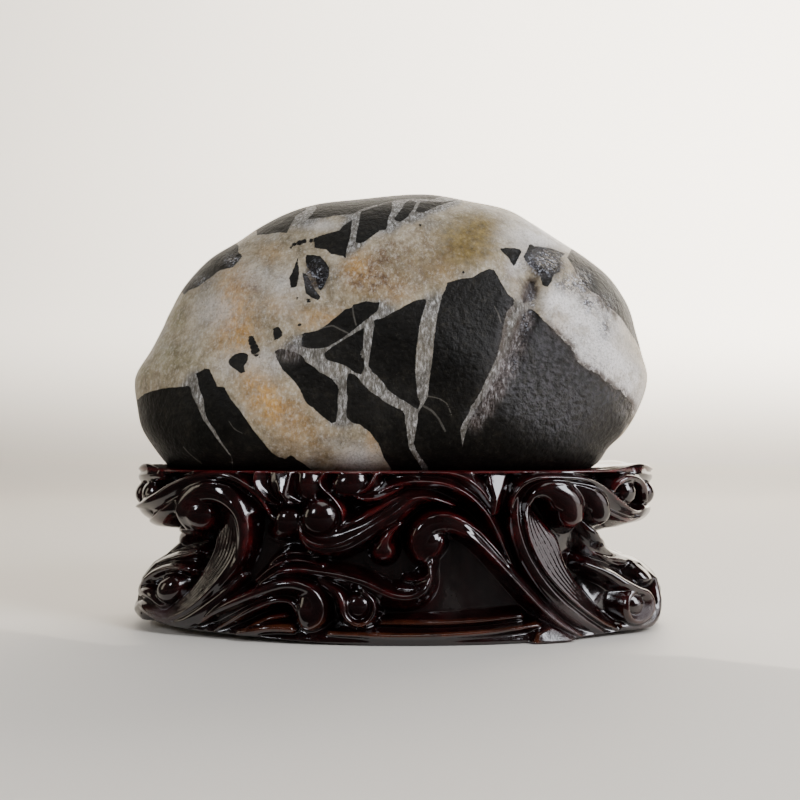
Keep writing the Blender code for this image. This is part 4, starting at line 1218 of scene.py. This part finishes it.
def sampled(z_samples, field, z):
    """Each column of the field, read at that column's heights."""
    place = np.clip((z - z_samples[0]) / (z_samples[1] - z_samples[0]), 0, len(z_samples) - 1.001)
    low = place.astype(int)
    share = place - low
    column = np.arange(len(field))[:, None]
    return field[column, low] * (1 - share) + field[column, low + 1] * share


def stand_mesh():
    """The stand as rows that run from the middle of its underside, out and up the wall, and in over the
    top to the seat. The wall is the superellipse moved out by the carving and the flare."""
    u, z_samples, fields = wall_raster()
    top, foot = rim_height(u), np.interp(u, LIFT_AT, LIFT)
    share = np.linspace(0, 1, WALL_ROWS)[None]
    z = foot[:, None] + (top - foot)[:, None] * share
    fields = {name: sampled(z_samples, field, z) for name, field in fields.items()}
    rounded = np.clip(1 - (top[:, None] - z) / RIM_ROUNDING, 0, 1)
    fields["out"] = fields["out"] - RIM_ROUNDING * (1 - np.sqrt(1 - rounded**2))
    fields.update(z=z, top=top, foot=foot)
    # The back mirrors the front, with half as many columns.
    back = np.arange(WALL_COLUMNS - 1, 0, -2 if COARSE == 1 else -1)
    whole_u = np.concatenate([u, GIRTH / 2 - u[back]])
    fields = {name: np.concatenate([field, field[back]]) for name, field in fields.items()}
    out, z, top, foot = (fields.pop(name) for name in ("out", "z", "top", "foot"))
    x, y = wall_point(whole_u)
    nx, ny = wall_normal(whole_u)
    out = out + flare(x[:, None], z)
    x, y = x[:, None] + nx[:, None] * out, y[:, None] + ny[:, None] * out

    inward = 1 - np.linspace(0, 1, TOP_ROWS + 1)[1:-1] ** TOP_SPACING
    top_x, top_y = x[:, -1:] * inward, y[:, -1:] * inward
    slope = smooth_step((inward - MARGIN_FROM) / (1 - MARGIN_FROM))
    top_z = RIM_HEIGHT + (top - RIM_HEIGHT)[:, None] * slope
    seat = stone_underside(top_x.ravel(), top_y.ravel()).reshape(top_x.shape) - SEAT_GAP
    top_z = np.minimum(top_z, seat)

    under = np.linspace(0, 1, FOOT_ROWS + 1)[1:-1]
    foot_x, foot_y = x[:, :1] * under, y[:, :1] * under
    foot_z = np.maximum(0, -1 + (foot[:, None] + 1) * smooth_step((under - MARGIN_FROM) / (1 - MARGIN_FROM)))

    def rows(under_part, wall_part, top_part):
        return np.concatenate([under_part, wall_part, top_part], axis=1).T.ravel()

    points = np.column_stack([rows(foot_x, x, top_x), rows(foot_y, y, top_y), rows(foot_z, z, top_z)])
    seat_height = min(RIM_HEIGHT, stone_underside(np.zeros(1), np.zeros(1))[0] - SEAT_GAP)
    points = np.vstack([[0, 0, 0], points, [0, 0, seat_height]])
    mesh = closed_grid("carved_stand", points, len(whole_u))
    flat_under, flat_top = np.zeros_like(foot_x), np.zeros_like(top_x)
    for name, values in fields.items():
        mark(mesh, name, np.concatenate([[0], rows(flat_under, values, flat_top), [0]]))
    return mesh


def thinned(piece, triangles):
    """Collapses the edges that matter least until about so many triangles are left. A face makes two
    triangles fewer than it has corners."""
    mesh = piece.data
    count = len(mesh.loops) - 2 * len(mesh.polygons)
    modifier = piece.modifiers.new("thinned", "DECIMATE")
    modifier.ratio = triangles / count
    graph = bpy.context.evaluated_depsgraph_get()
    done = bpy.data.meshes.new_from_object(
        piece.evaluated_get(graph), preserve_all_data_layers=True, depsgraph=graph)
    piece.modifiers.remove(modifier)
    piece.data = done
    bpy.data.meshes.remove(mesh)


# ---------------------------------------------------------------------------- materials

# Tones, each as where in its noise it lies and its colour, or as a pair to mix.
SLATE_TONES = [
    (0.32, (0.0035, 0.0032, 0.0026)), (0.5, (0.0070, 0.0063, 0.0053)), (0.7, (0.014, 0.013, 0.0115)),
]
SLATE_GRAIN = (0.052, 0.047, 0.037)
SLATE_WORN = (0.036, 0.031, 0.022)
SLATE_CRUST = (0.058, 0.053, 0.062)
SLATE_PAINTED_GLINT = (0.19, 0.175, 0.20)
SLATE_GREYED_AND_SHEEN = ((0.035, 0.033, 0.027), (0.12, 0.116, 0.10))
SLATE_SCRATCH = (0.11, 0.10, 0.085)
SLATE_BARK = (0.020, 0.013, 0.008)
QUARTZ_TONES = [
    (0.30, (0.080, 0.064, 0.040)), (0.42, (0.20, 0.163, 0.104)), (0.54, (0.35, 0.292, 0.202)),
    (0.66, (0.50, 0.435, 0.33)), (0.78, (0.70, 0.645, 0.55)),
]
QUARTZ_GREY = ((0.42, 0.41, 0.385), (0.20, 0.195, 0.18))
QUARTZ_SMOKY = (0.150, 0.112, 0.070)
QUARTZ_FIBRE = (0.80, 0.75, 0.68)
QUARTZ_SUGAR = (0.13, 0.105, 0.075)
QUARTZ_CRACK = (0.16, 0.11, 0.07)
QUARTZ_RIM = (0.055, 0.036, 0.024)
QUARTZ_PIT = (0.16, 0.145, 0.135)
QUARTZ_FLECK = (0.06, 0.045, 0.035)
OCHRE_TONES = [(0.35, (0.26, 0.130, 0.032)), (0.5, (0.48, 0.255, 0.066)), (0.7, (0.64, 0.40, 0.145))]
GOLDEN_TONES = [(0.32, (0.070, 0.048, 0.014)), (0.5, (0.175, 0.118, 0.030)), (0.7, (0.32, 0.23, 0.075))]
BROWN_TONES = ((0.17, 0.10, 0.052), (0.075, 0.042, 0.022))
MOSS_TONE = (0.21, 0.20, 0.085)
PALE_TONES = ((0.88, 0.85, 0.85), (0.52, 0.495, 0.485))
VEIN_TONES = [
    (0.36, (0.022, 0.020, 0.018)), (0.46, (0.080, 0.077, 0.072)), (0.54, (0.22, 0.216, 0.21)),
    (0.64, (0.70, 0.70, 0.72)),
]
HAIRLINE_TONES = ((0.06, 0.055, 0.045), (0.17, 0.16, 0.145))
STREAK_TONES = [
    (0.39, (0.014, 0.010, 0.009)), (0.47, (0.070, 0.053, 0.048)), (0.55, (0.17, 0.145, 0.14)),
    (0.64, (0.44, 0.42, 0.43)),
]
CRYSTAL_AND_GLINT_TONES = [
    (0.35, (0.010, 0.010, 0.015)), (0.62, (0.045, 0.046, 0.060)), (0.80, (0.16, 0.165, 0.195)),
    (0.95, (0.50, 0.53, 0.62)),
]
LACQUER_TONES = [
    (0.3, (0.0034, 0.0011, 0.0012)), (0.55, (0.0085, 0.0016, 0.0018)), (0.8, (0.026, 0.0030, 0.0034)),
]
LACQUER_RED = [
    (0.35, (0.022, 0.0016, 0.0020)), (0.6, (0.070, 0.0045, 0.0055)), (0.8, (0.15, 0.012, 0.012)),
]
LACQUER_PIT_SHADE = (0.0042, 0.0014, 0.0014)
LACQUER_RIM_RED_AND_HIGHLIGHT = (0.10, 0.007, 0.009)
LACQUER_RECESS_SHEEN = (0.026, 0.020, 0.018)
LACQUER_FOOT = (0.085, 0.024, 0.009)
LACQUER_PITTED_SHEEN = (0.040, 0.017, 0.019)
BACKDROP_TONE = (0.84, 0.80, 0.745, 1)
BACKDROP_GLOW = (1.0, 0.905, 0.77, 1)
CARD_TONE = (0.01, 0.01, 0.01)
CARD_SHADE = 0.97


class Shading:
    """Short calls that add and join the nodes of one material."""

    def __init__(self, name):
        self.material = bpy.data.materials.new(name)
        self.material.use_nodes = True
        self.tree = self.material.node_tree
        self.shader = self.tree.nodes["Principled BSDF"]
        self.place = self.node("ShaderNodeTexCoord").outputs["Object"]

    def node(self, kind, inputs=None, **settings):
        """A node with its settings, and with values or other nodes' outputs in its inputs."""
        made = self.tree.nodes.new(kind)
        for key, value in settings.items():
            setattr(made, key, value)
        for key, value in (inputs or {}).items():
            self.put(made.inputs[key], value)
        return made

    def put(self, socket, value):
        if isinstance(value, bpy.types.NodeSocket):
            self.tree.links.new(value, socket)
        else:
            socket.default_value = value

    def mark(self, name):
        """One of the mesh's own values."""
        return self.node("ShaderNodeAttribute", attribute_name=name).outputs["Fac"]

    def math(self, operation, *values):
        return self.node("ShaderNodeMath", dict(enumerate(values)), operation=operation).outputs[0]

    def times(self, a, b):
        return self.math("MULTIPLY", a, b)

    def times_plus(self, a, b, more):
        """a times b, and more added."""
        return self.math("MULTIPLY_ADD", a, b, more)

    def step(self, value, low, high, to_low=0.0, to_high=1.0):
        """Runs smoothly from to_low to to_high while the value runs from low to high."""
        return self.node(
            "ShaderNodeMapRange",
            {"Value": value, "From Min": low, "From Max": high, "To Min": to_low, "To Max": to_high},
            interpolation_type="SMOOTHSTEP",
        ).outputs[0]

    def noise(self, size, detail=4.0, rough=0.55, place=None):
        """Noise whose features are about size mm."""
        return self.node(
            "ShaderNodeTexNoise",
            {"Vector": place or self.place, "Scale": 1 / (size * MM), "Detail": detail, "Roughness": rough},
        ).outputs["Fac"]

    def cells(self, size, feature, place, output="Distance"):
        """Cells about size mm across."""
        return self.node(
            "ShaderNodeTexVoronoi", {"Vector": place, "Scale": 1 / (size * MM)}, feature=feature,
        ).outputs[output]

    def cracks(self, size, place, half_width, shown):
        """Thin lines between the cells, drawn where the shown noise lets them."""
        edge = self.cells(size, "DISTANCE_TO_EDGE", place)
        return self.times(self.step(edge, half_width, 0.0), shown)

    def stretched(self, factor, lean=0.0):
        """The place with its features made longer upwards by the factor, and leaning over."""
        return self.node("ShaderNodeMapping", {
            "Vector": self.place, "Rotation": (0, lean, 0), "Scale": (1, 1, 1 / factor)}).outputs[0]

    def warped(self, size, strength):
        """The place pushed about by noise of that size, up to strength mm."""
        push = self.node(
            "ShaderNodeTexNoise", {"Vector": self.place, "Scale": 1 / (size * MM), "Detail": 3.0},
        ).outputs["Color"]
        centred = self.node(
            "ShaderNodeVectorMath", {0: push, 1: (0.5, 0.5, 0.5)}, operation="SUBTRACT").outputs[0]
        scaled = self.node(
            "ShaderNodeVectorMath", {0: centred, "Scale": strength * MM * 2}, operation="SCALE").outputs[0]
        return self.node("ShaderNodeVectorMath", {0: self.place, 1: scaled}, operation="ADD").outputs[0]

    def mix(self, share, a, b):
        """Colours a and b, with that share of b."""
        made = self.node("ShaderNodeMix", {"Factor": share}, data_type="RGBA")
        self.put(made.inputs[6], (*a, 1) if isinstance(a, tuple) else a)
        self.put(made.inputs[7], (*b, 1) if isinstance(b, tuple) else b)
        return made.outputs[2]

    def blend(self, share, a, b):
        """Numbers a and b, with that share of b."""
        return self.node("ShaderNodeMix", {"Factor": share, 2: a, 3: b}, data_type="FLOAT").outputs[0]

    def ramp(self, value, tones):
        """The tones one after another along the value."""
        made = self.node("ShaderNodeValToRGB", {"Fac": value})
        elements = made.color_ramp.elements
        while len(elements) < len(tones):
            elements.new(0.5)
        for element, (at, colour) in zip(elements, tones):
            element.position = at
            element.color = (*colour, 1)
        return made.outputs["Color"]

    def bump(self, height, distance, strength):
        return self.node("ShaderNodeBump", {
            "Height": height, "Distance": distance * MM, "Strength": strength}).outputs[0]

    def finish(self, **inputs):
        """The material, with these put into its shader."""
        for name, value in inputs.items():
            self.put(self.shader.inputs[name.replace("_", " ")], value)
        return self.material


class StoneShading(Shading):
    """Waxed dark slate broken up by quartz. The marks say where the dark rock is, and noise roughens the
    edges between them. What the rocks share is made once."""

    def __init__(self):
        super().__init__("waxed_slate_and_quartz")
        self.rough, self.crystal, self.streaked = (self.mark(n) for n in ("rough", "crystal", "streaked"))
        self.grain, self.sugar = self.noise(1.9, 7, 0.8), self.noise(1.5, 7, 0.85)
        self.broken, self.crust = self.noise(7, 8, 0.75), self.noise(3.2, 5, 0.66)
        self.crusted = self.step(self.rough, 0.1, 0.45)
        self.streaks = self.noise(1.6, 7, 0.75, self.stretched(1 / 0.22, CREASE_LEAN))
        facet = self.cells(1.1, "F1", self.warped(3, 1.5), "Color")
        self.glint = self.node("ShaderNodeSeparateColor", {"Color": facet}).outputs[0]
        ragged = self.times_plus(self.noise(3.2, 6, 0.75), 2.6, -1.3)
        self.ragged = self.times(ragged, self.times_plus(self.rough, 1.6, 0.8))
        nearest = self.math("MINIMUM", self.mark("dark_a"), self.mark("dark_b"))
        nearest = self.math("MINIMUM", nearest, self.mark("dark_c"))
        self.distance = self.math("ADD", nearest, self.ragged)
        self.dark = self.step(self.distance, 0.25, -0.25)

    def slate(self):
        """Clouds and grain, worn places, crust and painted glints, paler rock with painted sheen, scratches,
        and bark by the rough edges."""
        cloud = self.noise(38, 8, 0.62)
        colour = self.ramp(cloud, SLATE_TONES)
        colour = self.mix(self.step(self.grain, 0.54, 0.72, 0, 0.7), colour, SLATE_GRAIN)
        worn = self.step(self.noise(6, 8, 0.78), 0.50, 0.66)
        worn = self.times(worn, self.step(cloud, 0.4, 0.6, 0.2, 0.5))
        colour = self.mix(worn, colour, SLATE_WORN)
        coarse = self.times(self.rough, self.step(self.crust, 0.44, 0.60, 0, 0.9))
        colour = self.mix(coarse, colour, SLATE_CRUST)
        # Painted glints: light grey specks in the rough slate's colour, standing in for glints of light.
        painted_glints = self.times(self.rough, self.step(self.noise(1.9, 7, 0.85), 0.60, 0.72))
        painted_glints = self.times(painted_glints, self.step(self.crust, 0.5, 0.64, 0.05, 0.9))
        colour = self.mix(painted_glints, colour, SLATE_PAINTED_GLINT)
        # Paler rock: partly its own tone, partly painted sheen of grazing light.
        colour = self.mix(self.times(self.mark("greyed_and_sheen"), 0.6), colour, self.mix(self.grain, *SLATE_GREYED_AND_SHEEN))
        scratch = self.cracks(26, self.warped(9, 5), 0.010, self.step(self.noise(18, 3), 0.5, 0.62))
        colour = self.mix(self.times(scratch, 0.08), colour, SLATE_SCRATCH)
        bark = self.times(self.step(self.distance, -5.0, -0.5), self.times(self.crusted, 0.7))
        return self.mix(bark, colour, SLATE_BARK)

    def stained(self, colour):
        """The quartz with its stains, one over another, each broken up by a noise."""
        ochre = self.ramp(self.noise(4, 7, 0.7), OCHRE_TONES)
        golden = self.ramp(self.noise(5, 7, 0.7), GOLDEN_TONES)
        brown = self.mix(self.step(self.sugar, 0.4, 0.6), *BROWN_TONES)
        pale = self.mix(self.step(self.sugar, 0.4, 0.66), *PALE_TONES)
        # The mark, its noise, the range of that noise it comes in over, its least and most, and its tone.
        stains = [
            ("ochre", self.broken, (0.30, 0.62), (0.2, 1.0), ochre),
            ("golden", self.broken, (0.26, 0.54), (0.45, 1.0), golden),
            ("brown", self.broken, (0.4, 0.66), (0.15, 1.0), brown),
            ("moss", self.noise(11, 6, 0.65), (0.35, 0.65), (0.2, 0.9), MOSS_TONE),
            ("pale", self.noise(11, 8, 0.65), (0.32, 0.56), (0.35, 1.0), pale),
        ]
        for name, noise, over, strength, tone in stains:
            shown = self.times(self.mark(name), self.step(noise, *over, *strength))
            colour = self.mix(shown, colour, tone)
        return colour

    def quartz(self):
        """Clouds of grey, cream and smoke, then stains, fibres, sugary grain, cracks, veins where it is
        narrow, a rusty rim and pits where it is rough, and flecks."""
        colour = self.ramp(self.noise(13, 10, 0.74, self.warped(30, 6)), QUARTZ_TONES)
        grey = self.mix(self.step(self.sugar, 0.35, 0.65), *QUARTZ_GREY)
        colour = self.mix(self.step(self.noise(24, 6, 0.6), 0.5, 0.68, 0, 0.5), colour, grey)
        colour = self.mix(self.step(self.noise(9, 8, 0.72), 0.52, 0.68, 0, 0.42), colour, QUARTZ_SMOKY)
        colour = self.stained(colour)
        fibres = self.step(self.noise(2.0, 7, 0.75, self.stretched(1.6)), 0.46, 0.70, 0, 0.45)
        shown = self.step(self.mark("golden"), 0.1, 0.8, 1.0, 0.25)
        colour = self.mix(self.times(shown, fibres), colour, QUARTZ_FIBRE)
        colour = self.mix(self.step(self.sugar, 0.50, 0.68, 0, 0.62), colour, QUARTZ_SUGAR)
        crack = self.cracks(17, self.warped(6, 7), 0.022, self.step(self.noise(15, 4), 0.52, 0.62))
        colour = self.mix(self.times(crack, 0.35), colour, QUARTZ_CRACK)
        vein = self.ramp(self.noise(1.7, 8, 0.8, self.stretched(3.2)), VEIN_TONES)
        colour = self.mix(self.times(self.mark("narrow"), 0.88), colour, vein)
        rim = self.times(self.crusted, self.step(self.broken, 0.34, 0.52))
        rim = self.times(self.step(self.distance, 5.5, 1.2), rim)
        colour = self.mix(self.times(rim, 0.85), colour, QUARTZ_RIM)
        pits = self.times(self.crusted, self.step(self.noise(2.6, 6, 0.72), 0.58, 0.66, 0, 0.55))
        colour = self.mix(pits, colour, QUARTZ_PIT)
        fleck = self.step(self.cells(9, "F1", self.warped(4, 3)), 0.06, 0.03, 0, 0.8)
        return self.mix(fleck, colour, QUARTZ_FLECK)

    def colour(self):
        """Slate in quartz, then the hairlines, the streaks beside the crease, and the crystals: dark glassy
        rock whose fine bright chips are painted glints."""
        colour = self.mix(self.dark, self.quartz(), self.slate())
        hair = self.math("ADD", self.math("ABSOLUTE", self.mark("hair")), self.times(self.ragged, 0.7))
        hair = self.times(self.step(hair, 1.3, 0.5), self.step(self.mark("hair_shown"), 0.4, 0.6))
        colour = self.mix(self.times(hair, 0.6), colour, self.mix(self.grain, *HAIRLINE_TONES))
        mixed = self.times(self.streaked, self.step(self.streaks, 0.36, 0.46))
        colour = self.mix(mixed, colour, self.ramp(self.streaks, STREAK_TONES))
        # The crystals' bright chips are painted glints.
        crystals = self.times(self.crystal, self.step(self.noise(3, 6, 0.7), 0.38, 0.55))
        return self.mix(crystals, colour, self.ramp(self.glint, CRYSTAL_AND_GLINT_TONES))

    def gloss(self):
        """Waxed all over, and shinier on crust and crystals."""
        quartz = self.step(self.broken, 0.3, 0.7, 0.36, 0.56)
        slate = self.step(self.grain, 0.3, 0.7, 0.38, 0.56)
        gloss = self.blend(self.dark, quartz, slate)
        gloss = self.blend(self.times(self.rough, self.dark), gloss, 0.33)
        return self.blend(self.crystal, gloss, 0.18)

    def skin(self):
        """The fine relief: swellings and sugary grain, slate that lies lower and is hammered, lumps where it
        is rough, ridges along the streaks, and chips."""
        skin = self.times_plus(self.noise(6, 6, 0.6), 0.45, self.times(self.sugar, 0.22))
        skin = self.math("ADD", skin, self.times(self.dark, -0.25))
        skin = self.times_plus(self.times(self.dark, self.noise(4.0, 3, 0.55)), 1.6, skin)
        lumps = self.times_plus(self.noise(9, 3, 0.5), 1.2, self.times(self.noise(4.2, 2, 0.5), 1.5))
        lumps = self.times(self.rough, self.math("ADD", lumps, self.crust))
        skin = self.times_plus(lumps, 3.2, skin)
        skin = self.times_plus(self.times(self.streaks, self.streaked), 1.2, skin)
        return self.times_plus(self.times(self.glint, self.crystal), 0.7, skin)


def stone_material():
    s = StoneShading()
    shine = s.blend(s.dark, 0.32, s.times_plus(s.rough, 0.35, 0.17))
    return s.finish(
        Base_Color=s.colour(), Roughness=s.gloss(), Specular_IOR_Level=shine,
        Normal=s.bump(s.skin(), 0.9, 0.8))


def lacquer_material():
    """Near-black lacquer with a red cast, rubbed through to red along the crests and the rim, where the red
    is partly painted highlight; painted shade, near black, in the pits; a painted grey sheen in the flat
    recess, which is duller there; and pitted in places, with a lighter painted sheen."""
    s = Shading("dark_red_lacquer")
    edge, pit, pitted = s.mark("edge"), s.mark("pit"), s.mark("pitted")
    patchy = s.noise(16, 6, 0.62)
    height = s.node("ShaderNodeSeparateXYZ", {"Vector": s.place}).outputs["Z"]
    # Red where the lacquer is rubbed through on the crests, more of it higher up: partly worn red, partly
    # painted highlight along the edges.
    worn = s.times(s.step(edge, 0.25, 1.0), s.step(patchy, 0.42, 0.64, 0.1, 1.0))
    worn = s.times(worn, s.step(height, 0.035, 0.085, 0.45, 1.0))
    colour = s.mix(worn, s.ramp(patchy, LACQUER_TONES), s.ramp(s.noise(5, 5, 0.6), LACQUER_RED))
    # Painted shade: the pits darkened towards near black, as the shade that gathers in them.
    colour = s.mix(s.step(pit, 3.0, 10, 0, 0.8), colour, LACQUER_PIT_SHADE)
    # A red line along the rim's top edge: partly red lacquer, partly painted highlight on the rim.
    rim = s.times(s.step(height, 0.1105, 0.1118), s.step(height, 0.1140, 0.1126))
    colour = s.mix(s.times(rim, s.step(patchy, 0.36, 0.60, 0.1, 0.8)), colour, LACQUER_RIM_RED_AND_HIGHLIGHT)
    # Painted sheen: the flat recess lightened to a dull grey, as the reflection it shows; it is also made
    # rougher below.
    painted_sheen = s.times(s.mark("recess_sheen"), s.step(s.noise(7, 5), 0.35, 0.6, 0.3, 1.0))
    colour = s.mix(painted_sheen, colour, LACQUER_RECESS_SHEEN)
    low = s.times(s.step(height, 0.020, 0.013), s.step(edge, 0.30, 0.75))
    colour = s.mix(s.times(low, s.step(patchy, 0.35, 0.6, 0.2, 0.65)), colour, LACQUER_FOOT)
    # Pitted places: a lighter painted sheen in the colour, with a real pitted bump below.
    colour = s.mix(s.times(pitted, 0.7), colour, LACQUER_PITTED_SHEEN)
    waves = s.times_plus(s.noise(9, 3, 0.5), 0.5, s.times(s.noise(1.6, 4, 0.6), 0.05))
    waves = s.times_plus(s.times(pitted, s.noise(1.6, 4, 0.7)), 3.2, waves)
    deep = s.step(pit, 3, 10)
    gloss = s.blend(painted_sheen, s.blend(deep, s.step(patchy, 0.3, 0.7, 0.07, 0.16), 0.3), 0.45)
    return s.finish(
        Base_Color=colour, Roughness=gloss, Specular_IOR_Level=s.blend(deep, 0.9, 0.3),
        Normal=s.bump(waves, 0.7, 0.5))


def card_material():
    """Matt black, very faintly uneven."""
    s = Shading("black_card")
    shade = tuple(channel * CARD_SHADE for channel in CARD_TONE)
    return s.finish(Base_Color=s.mix(s.noise(400, 2), CARD_TONE, shade), Roughness=0.9)


def backdrop_material():
    """Matt warm white. The wall glows as if lit from the right, and the floor is as the lights make it."""
    s = Shading("pale_backdrop")
    place = s.node("ShaderNodeSeparateXYZ", {"Vector": s.place}).outputs
    glow = s.times(s.step(place["Z"], 0.0, 0.5), s.step(place["X"], -2.2, 2.0, 1.4, 6.0))
    return s.finish(
        Base_Color=BACKDROP_TONE, Roughness=0.6, Emission_Color=BACKDROP_GLOW, Emission_Strength=glow)


# ---------------------------------------------------------------------------- the room

# Metres, from the middle of the floor under the object.
AIM = (0, 0, 0.16)
# The lights: place, size, power, colour, and the rays that don't see it.
LIGHTS = {
    "window": ((1.15, -1.05, 1.15), (0.5, 0.8), 26, (0.93, 0.96, 1.0), "glossy"),
    "window_glow": ((1.35, -0.95, 1.0), (0.9, 1.0), 36, (0.93, 0.94, 1.0), "diffuse"),
    "left_window": ((-1.0, -1.1, 0.9), (0.2, 0.4), 5.5, (0.90, 0.94, 1.0), None),
    "left_fill": ((-1.6, -0.2, 0.5), (0.4, 0.8), 2.0, (1.0, 0.90, 0.72), None),
    "right_window": ((1.5, -0.5, 0.4), (0.9, 0.7), 4.5, (1.0, 0.93, 0.95), None),
    "overhead": ((0.15, -0.15, 1.7), (1.2, 1.0), 7, (1.0, 0.98, 0.95), None),
}
ROOM_COLOUR = (1.0, 0.95, 0.88, 1)
ROOM_STRENGTH = 0.04
# The backdrop's floor, from its front edge to its wall, and the curve between them.
BACKDROP_HALF_WIDTH = 4
BACKDROP_FRONT = -3.0
BACKDROP_BACK = 2.4
BACKDROP_HEIGHT = 3.5
BACKDROP_CURVE = 1.0
CURVE_STEPS = 24
# The black card that only reflections see: it lies before the object, along the stand's front and round
# its left end.
CARD_LIFT = 0.002
CARD_CORNERS = [
    (-3.5, -2.9), (3.5, -2.9), (3.5, -2.2), (0.18, -0.125), (0.12, -0.119), (0.04, -0.109), (-0.06, -0.108),
    (-0.19, -0.09), (-0.6, 0.15), (-3.5, 0.8),
]


def backdrop():
    """A pale floor that curves up into a wall: the profile is carried straight across."""
    turn = np.linspace(0, np.pi / 2, CURVE_STEPS)
    bend = BACKDROP_BACK - BACKDROP_CURVE
    y = np.concatenate([[BACKDROP_FRONT], bend + BACKDROP_CURVE * np.sin(turn), [BACKDROP_BACK]])
    z = np.concatenate([[0], BACKDROP_CURVE - BACKDROP_CURVE * np.cos(turn), [BACKDROP_HEIGHT]])
    x = np.array([-BACKDROP_HALF_WIDTH, BACKDROP_HALF_WIDTH])
    grid = np.stack([np.tile(x, len(y)), np.repeat(y, 2), np.repeat(z, 2)], -1)
    corner = np.arange(len(y) - 1)[:, None] * 2
    mesh = bpy.data.meshes.new("backdrop")
    mesh.from_pydata(grid.tolist(), [], (corner + [0, 1, 3, 2]).tolist())
    mesh.shade_smooth()
    mesh.materials.append(backdrop_material())
    placed("backdrop", mesh)


def reflection_card():
    """The card keeps the pale floor out of the reflections in the lacquer's front."""
    mesh = bpy.data.meshes.new("reflection_card")
    mesh.from_pydata([(x, y, CARD_LIFT) for x, y in CARD_CORNERS], [], [tuple(range(len(CARD_CORNERS)))])
    mesh.materials.append(card_material())
    card = placed("reflection_card", mesh)
    for ray in ("camera", "diffuse", "shadow", "transmission", "volume_scatter"):
        setattr(card, f"visible_{ray}", False)


def area_light(name, place, size, power, colour, unseen_by):
    data = bpy.data.lights.new(name, "AREA")
    data.shape = "RECTANGLE"
    data.size, data.size_y = size
    data.energy = power
    data.color = colour
    light = placed(name, data)
    light.location = place
    light.rotation_euler = (Vector(place) - Vector(AIM)).to_track_quat("Z", "Y").to_euler()
    if unseen_by:
        setattr(light, f"visible_{unseen_by}", False)


def studio():
    """Windows on both sides, a soft light overhead and a faint warm room."""
    for name, settings in LIGHTS.items():
        area_light(name, *settings)
    world = bpy.data.worlds.new("soft room")
    world.use_nodes = True
    background = world.node_tree.nodes["Background"]
    background.inputs["Color"].default_value = ROOM_COLOUR
    background.inputs["Strength"].default_value = ROOM_STRENGTH
    bpy.context.scene.world = world


def camera():
    """Stands where the eye is and looks level, with the frame raised."""
    data = bpy.data.cameras.new("camera")
    data.lens = LENS_MM
    data.shift_y = FRAME_RISE
    made = placed("camera", data)
    made.location = (0, -EYE_BACK * MM, EYE_HEIGHT * MM)
    made.rotation_euler = (np.pi / 2, 0, 0)
    bpy.context.scene.camera = made


camera()
backdrop()
reflection_card()
studio()
add_piece("scholars_rock", stone_mesh(), stone_material(), "stone")
stand = add_piece("carved_lacquer_stand", stand_mesh(), lacquer_material(), "carved_stand")
thinned(stand, STAND_TRIANGLES)
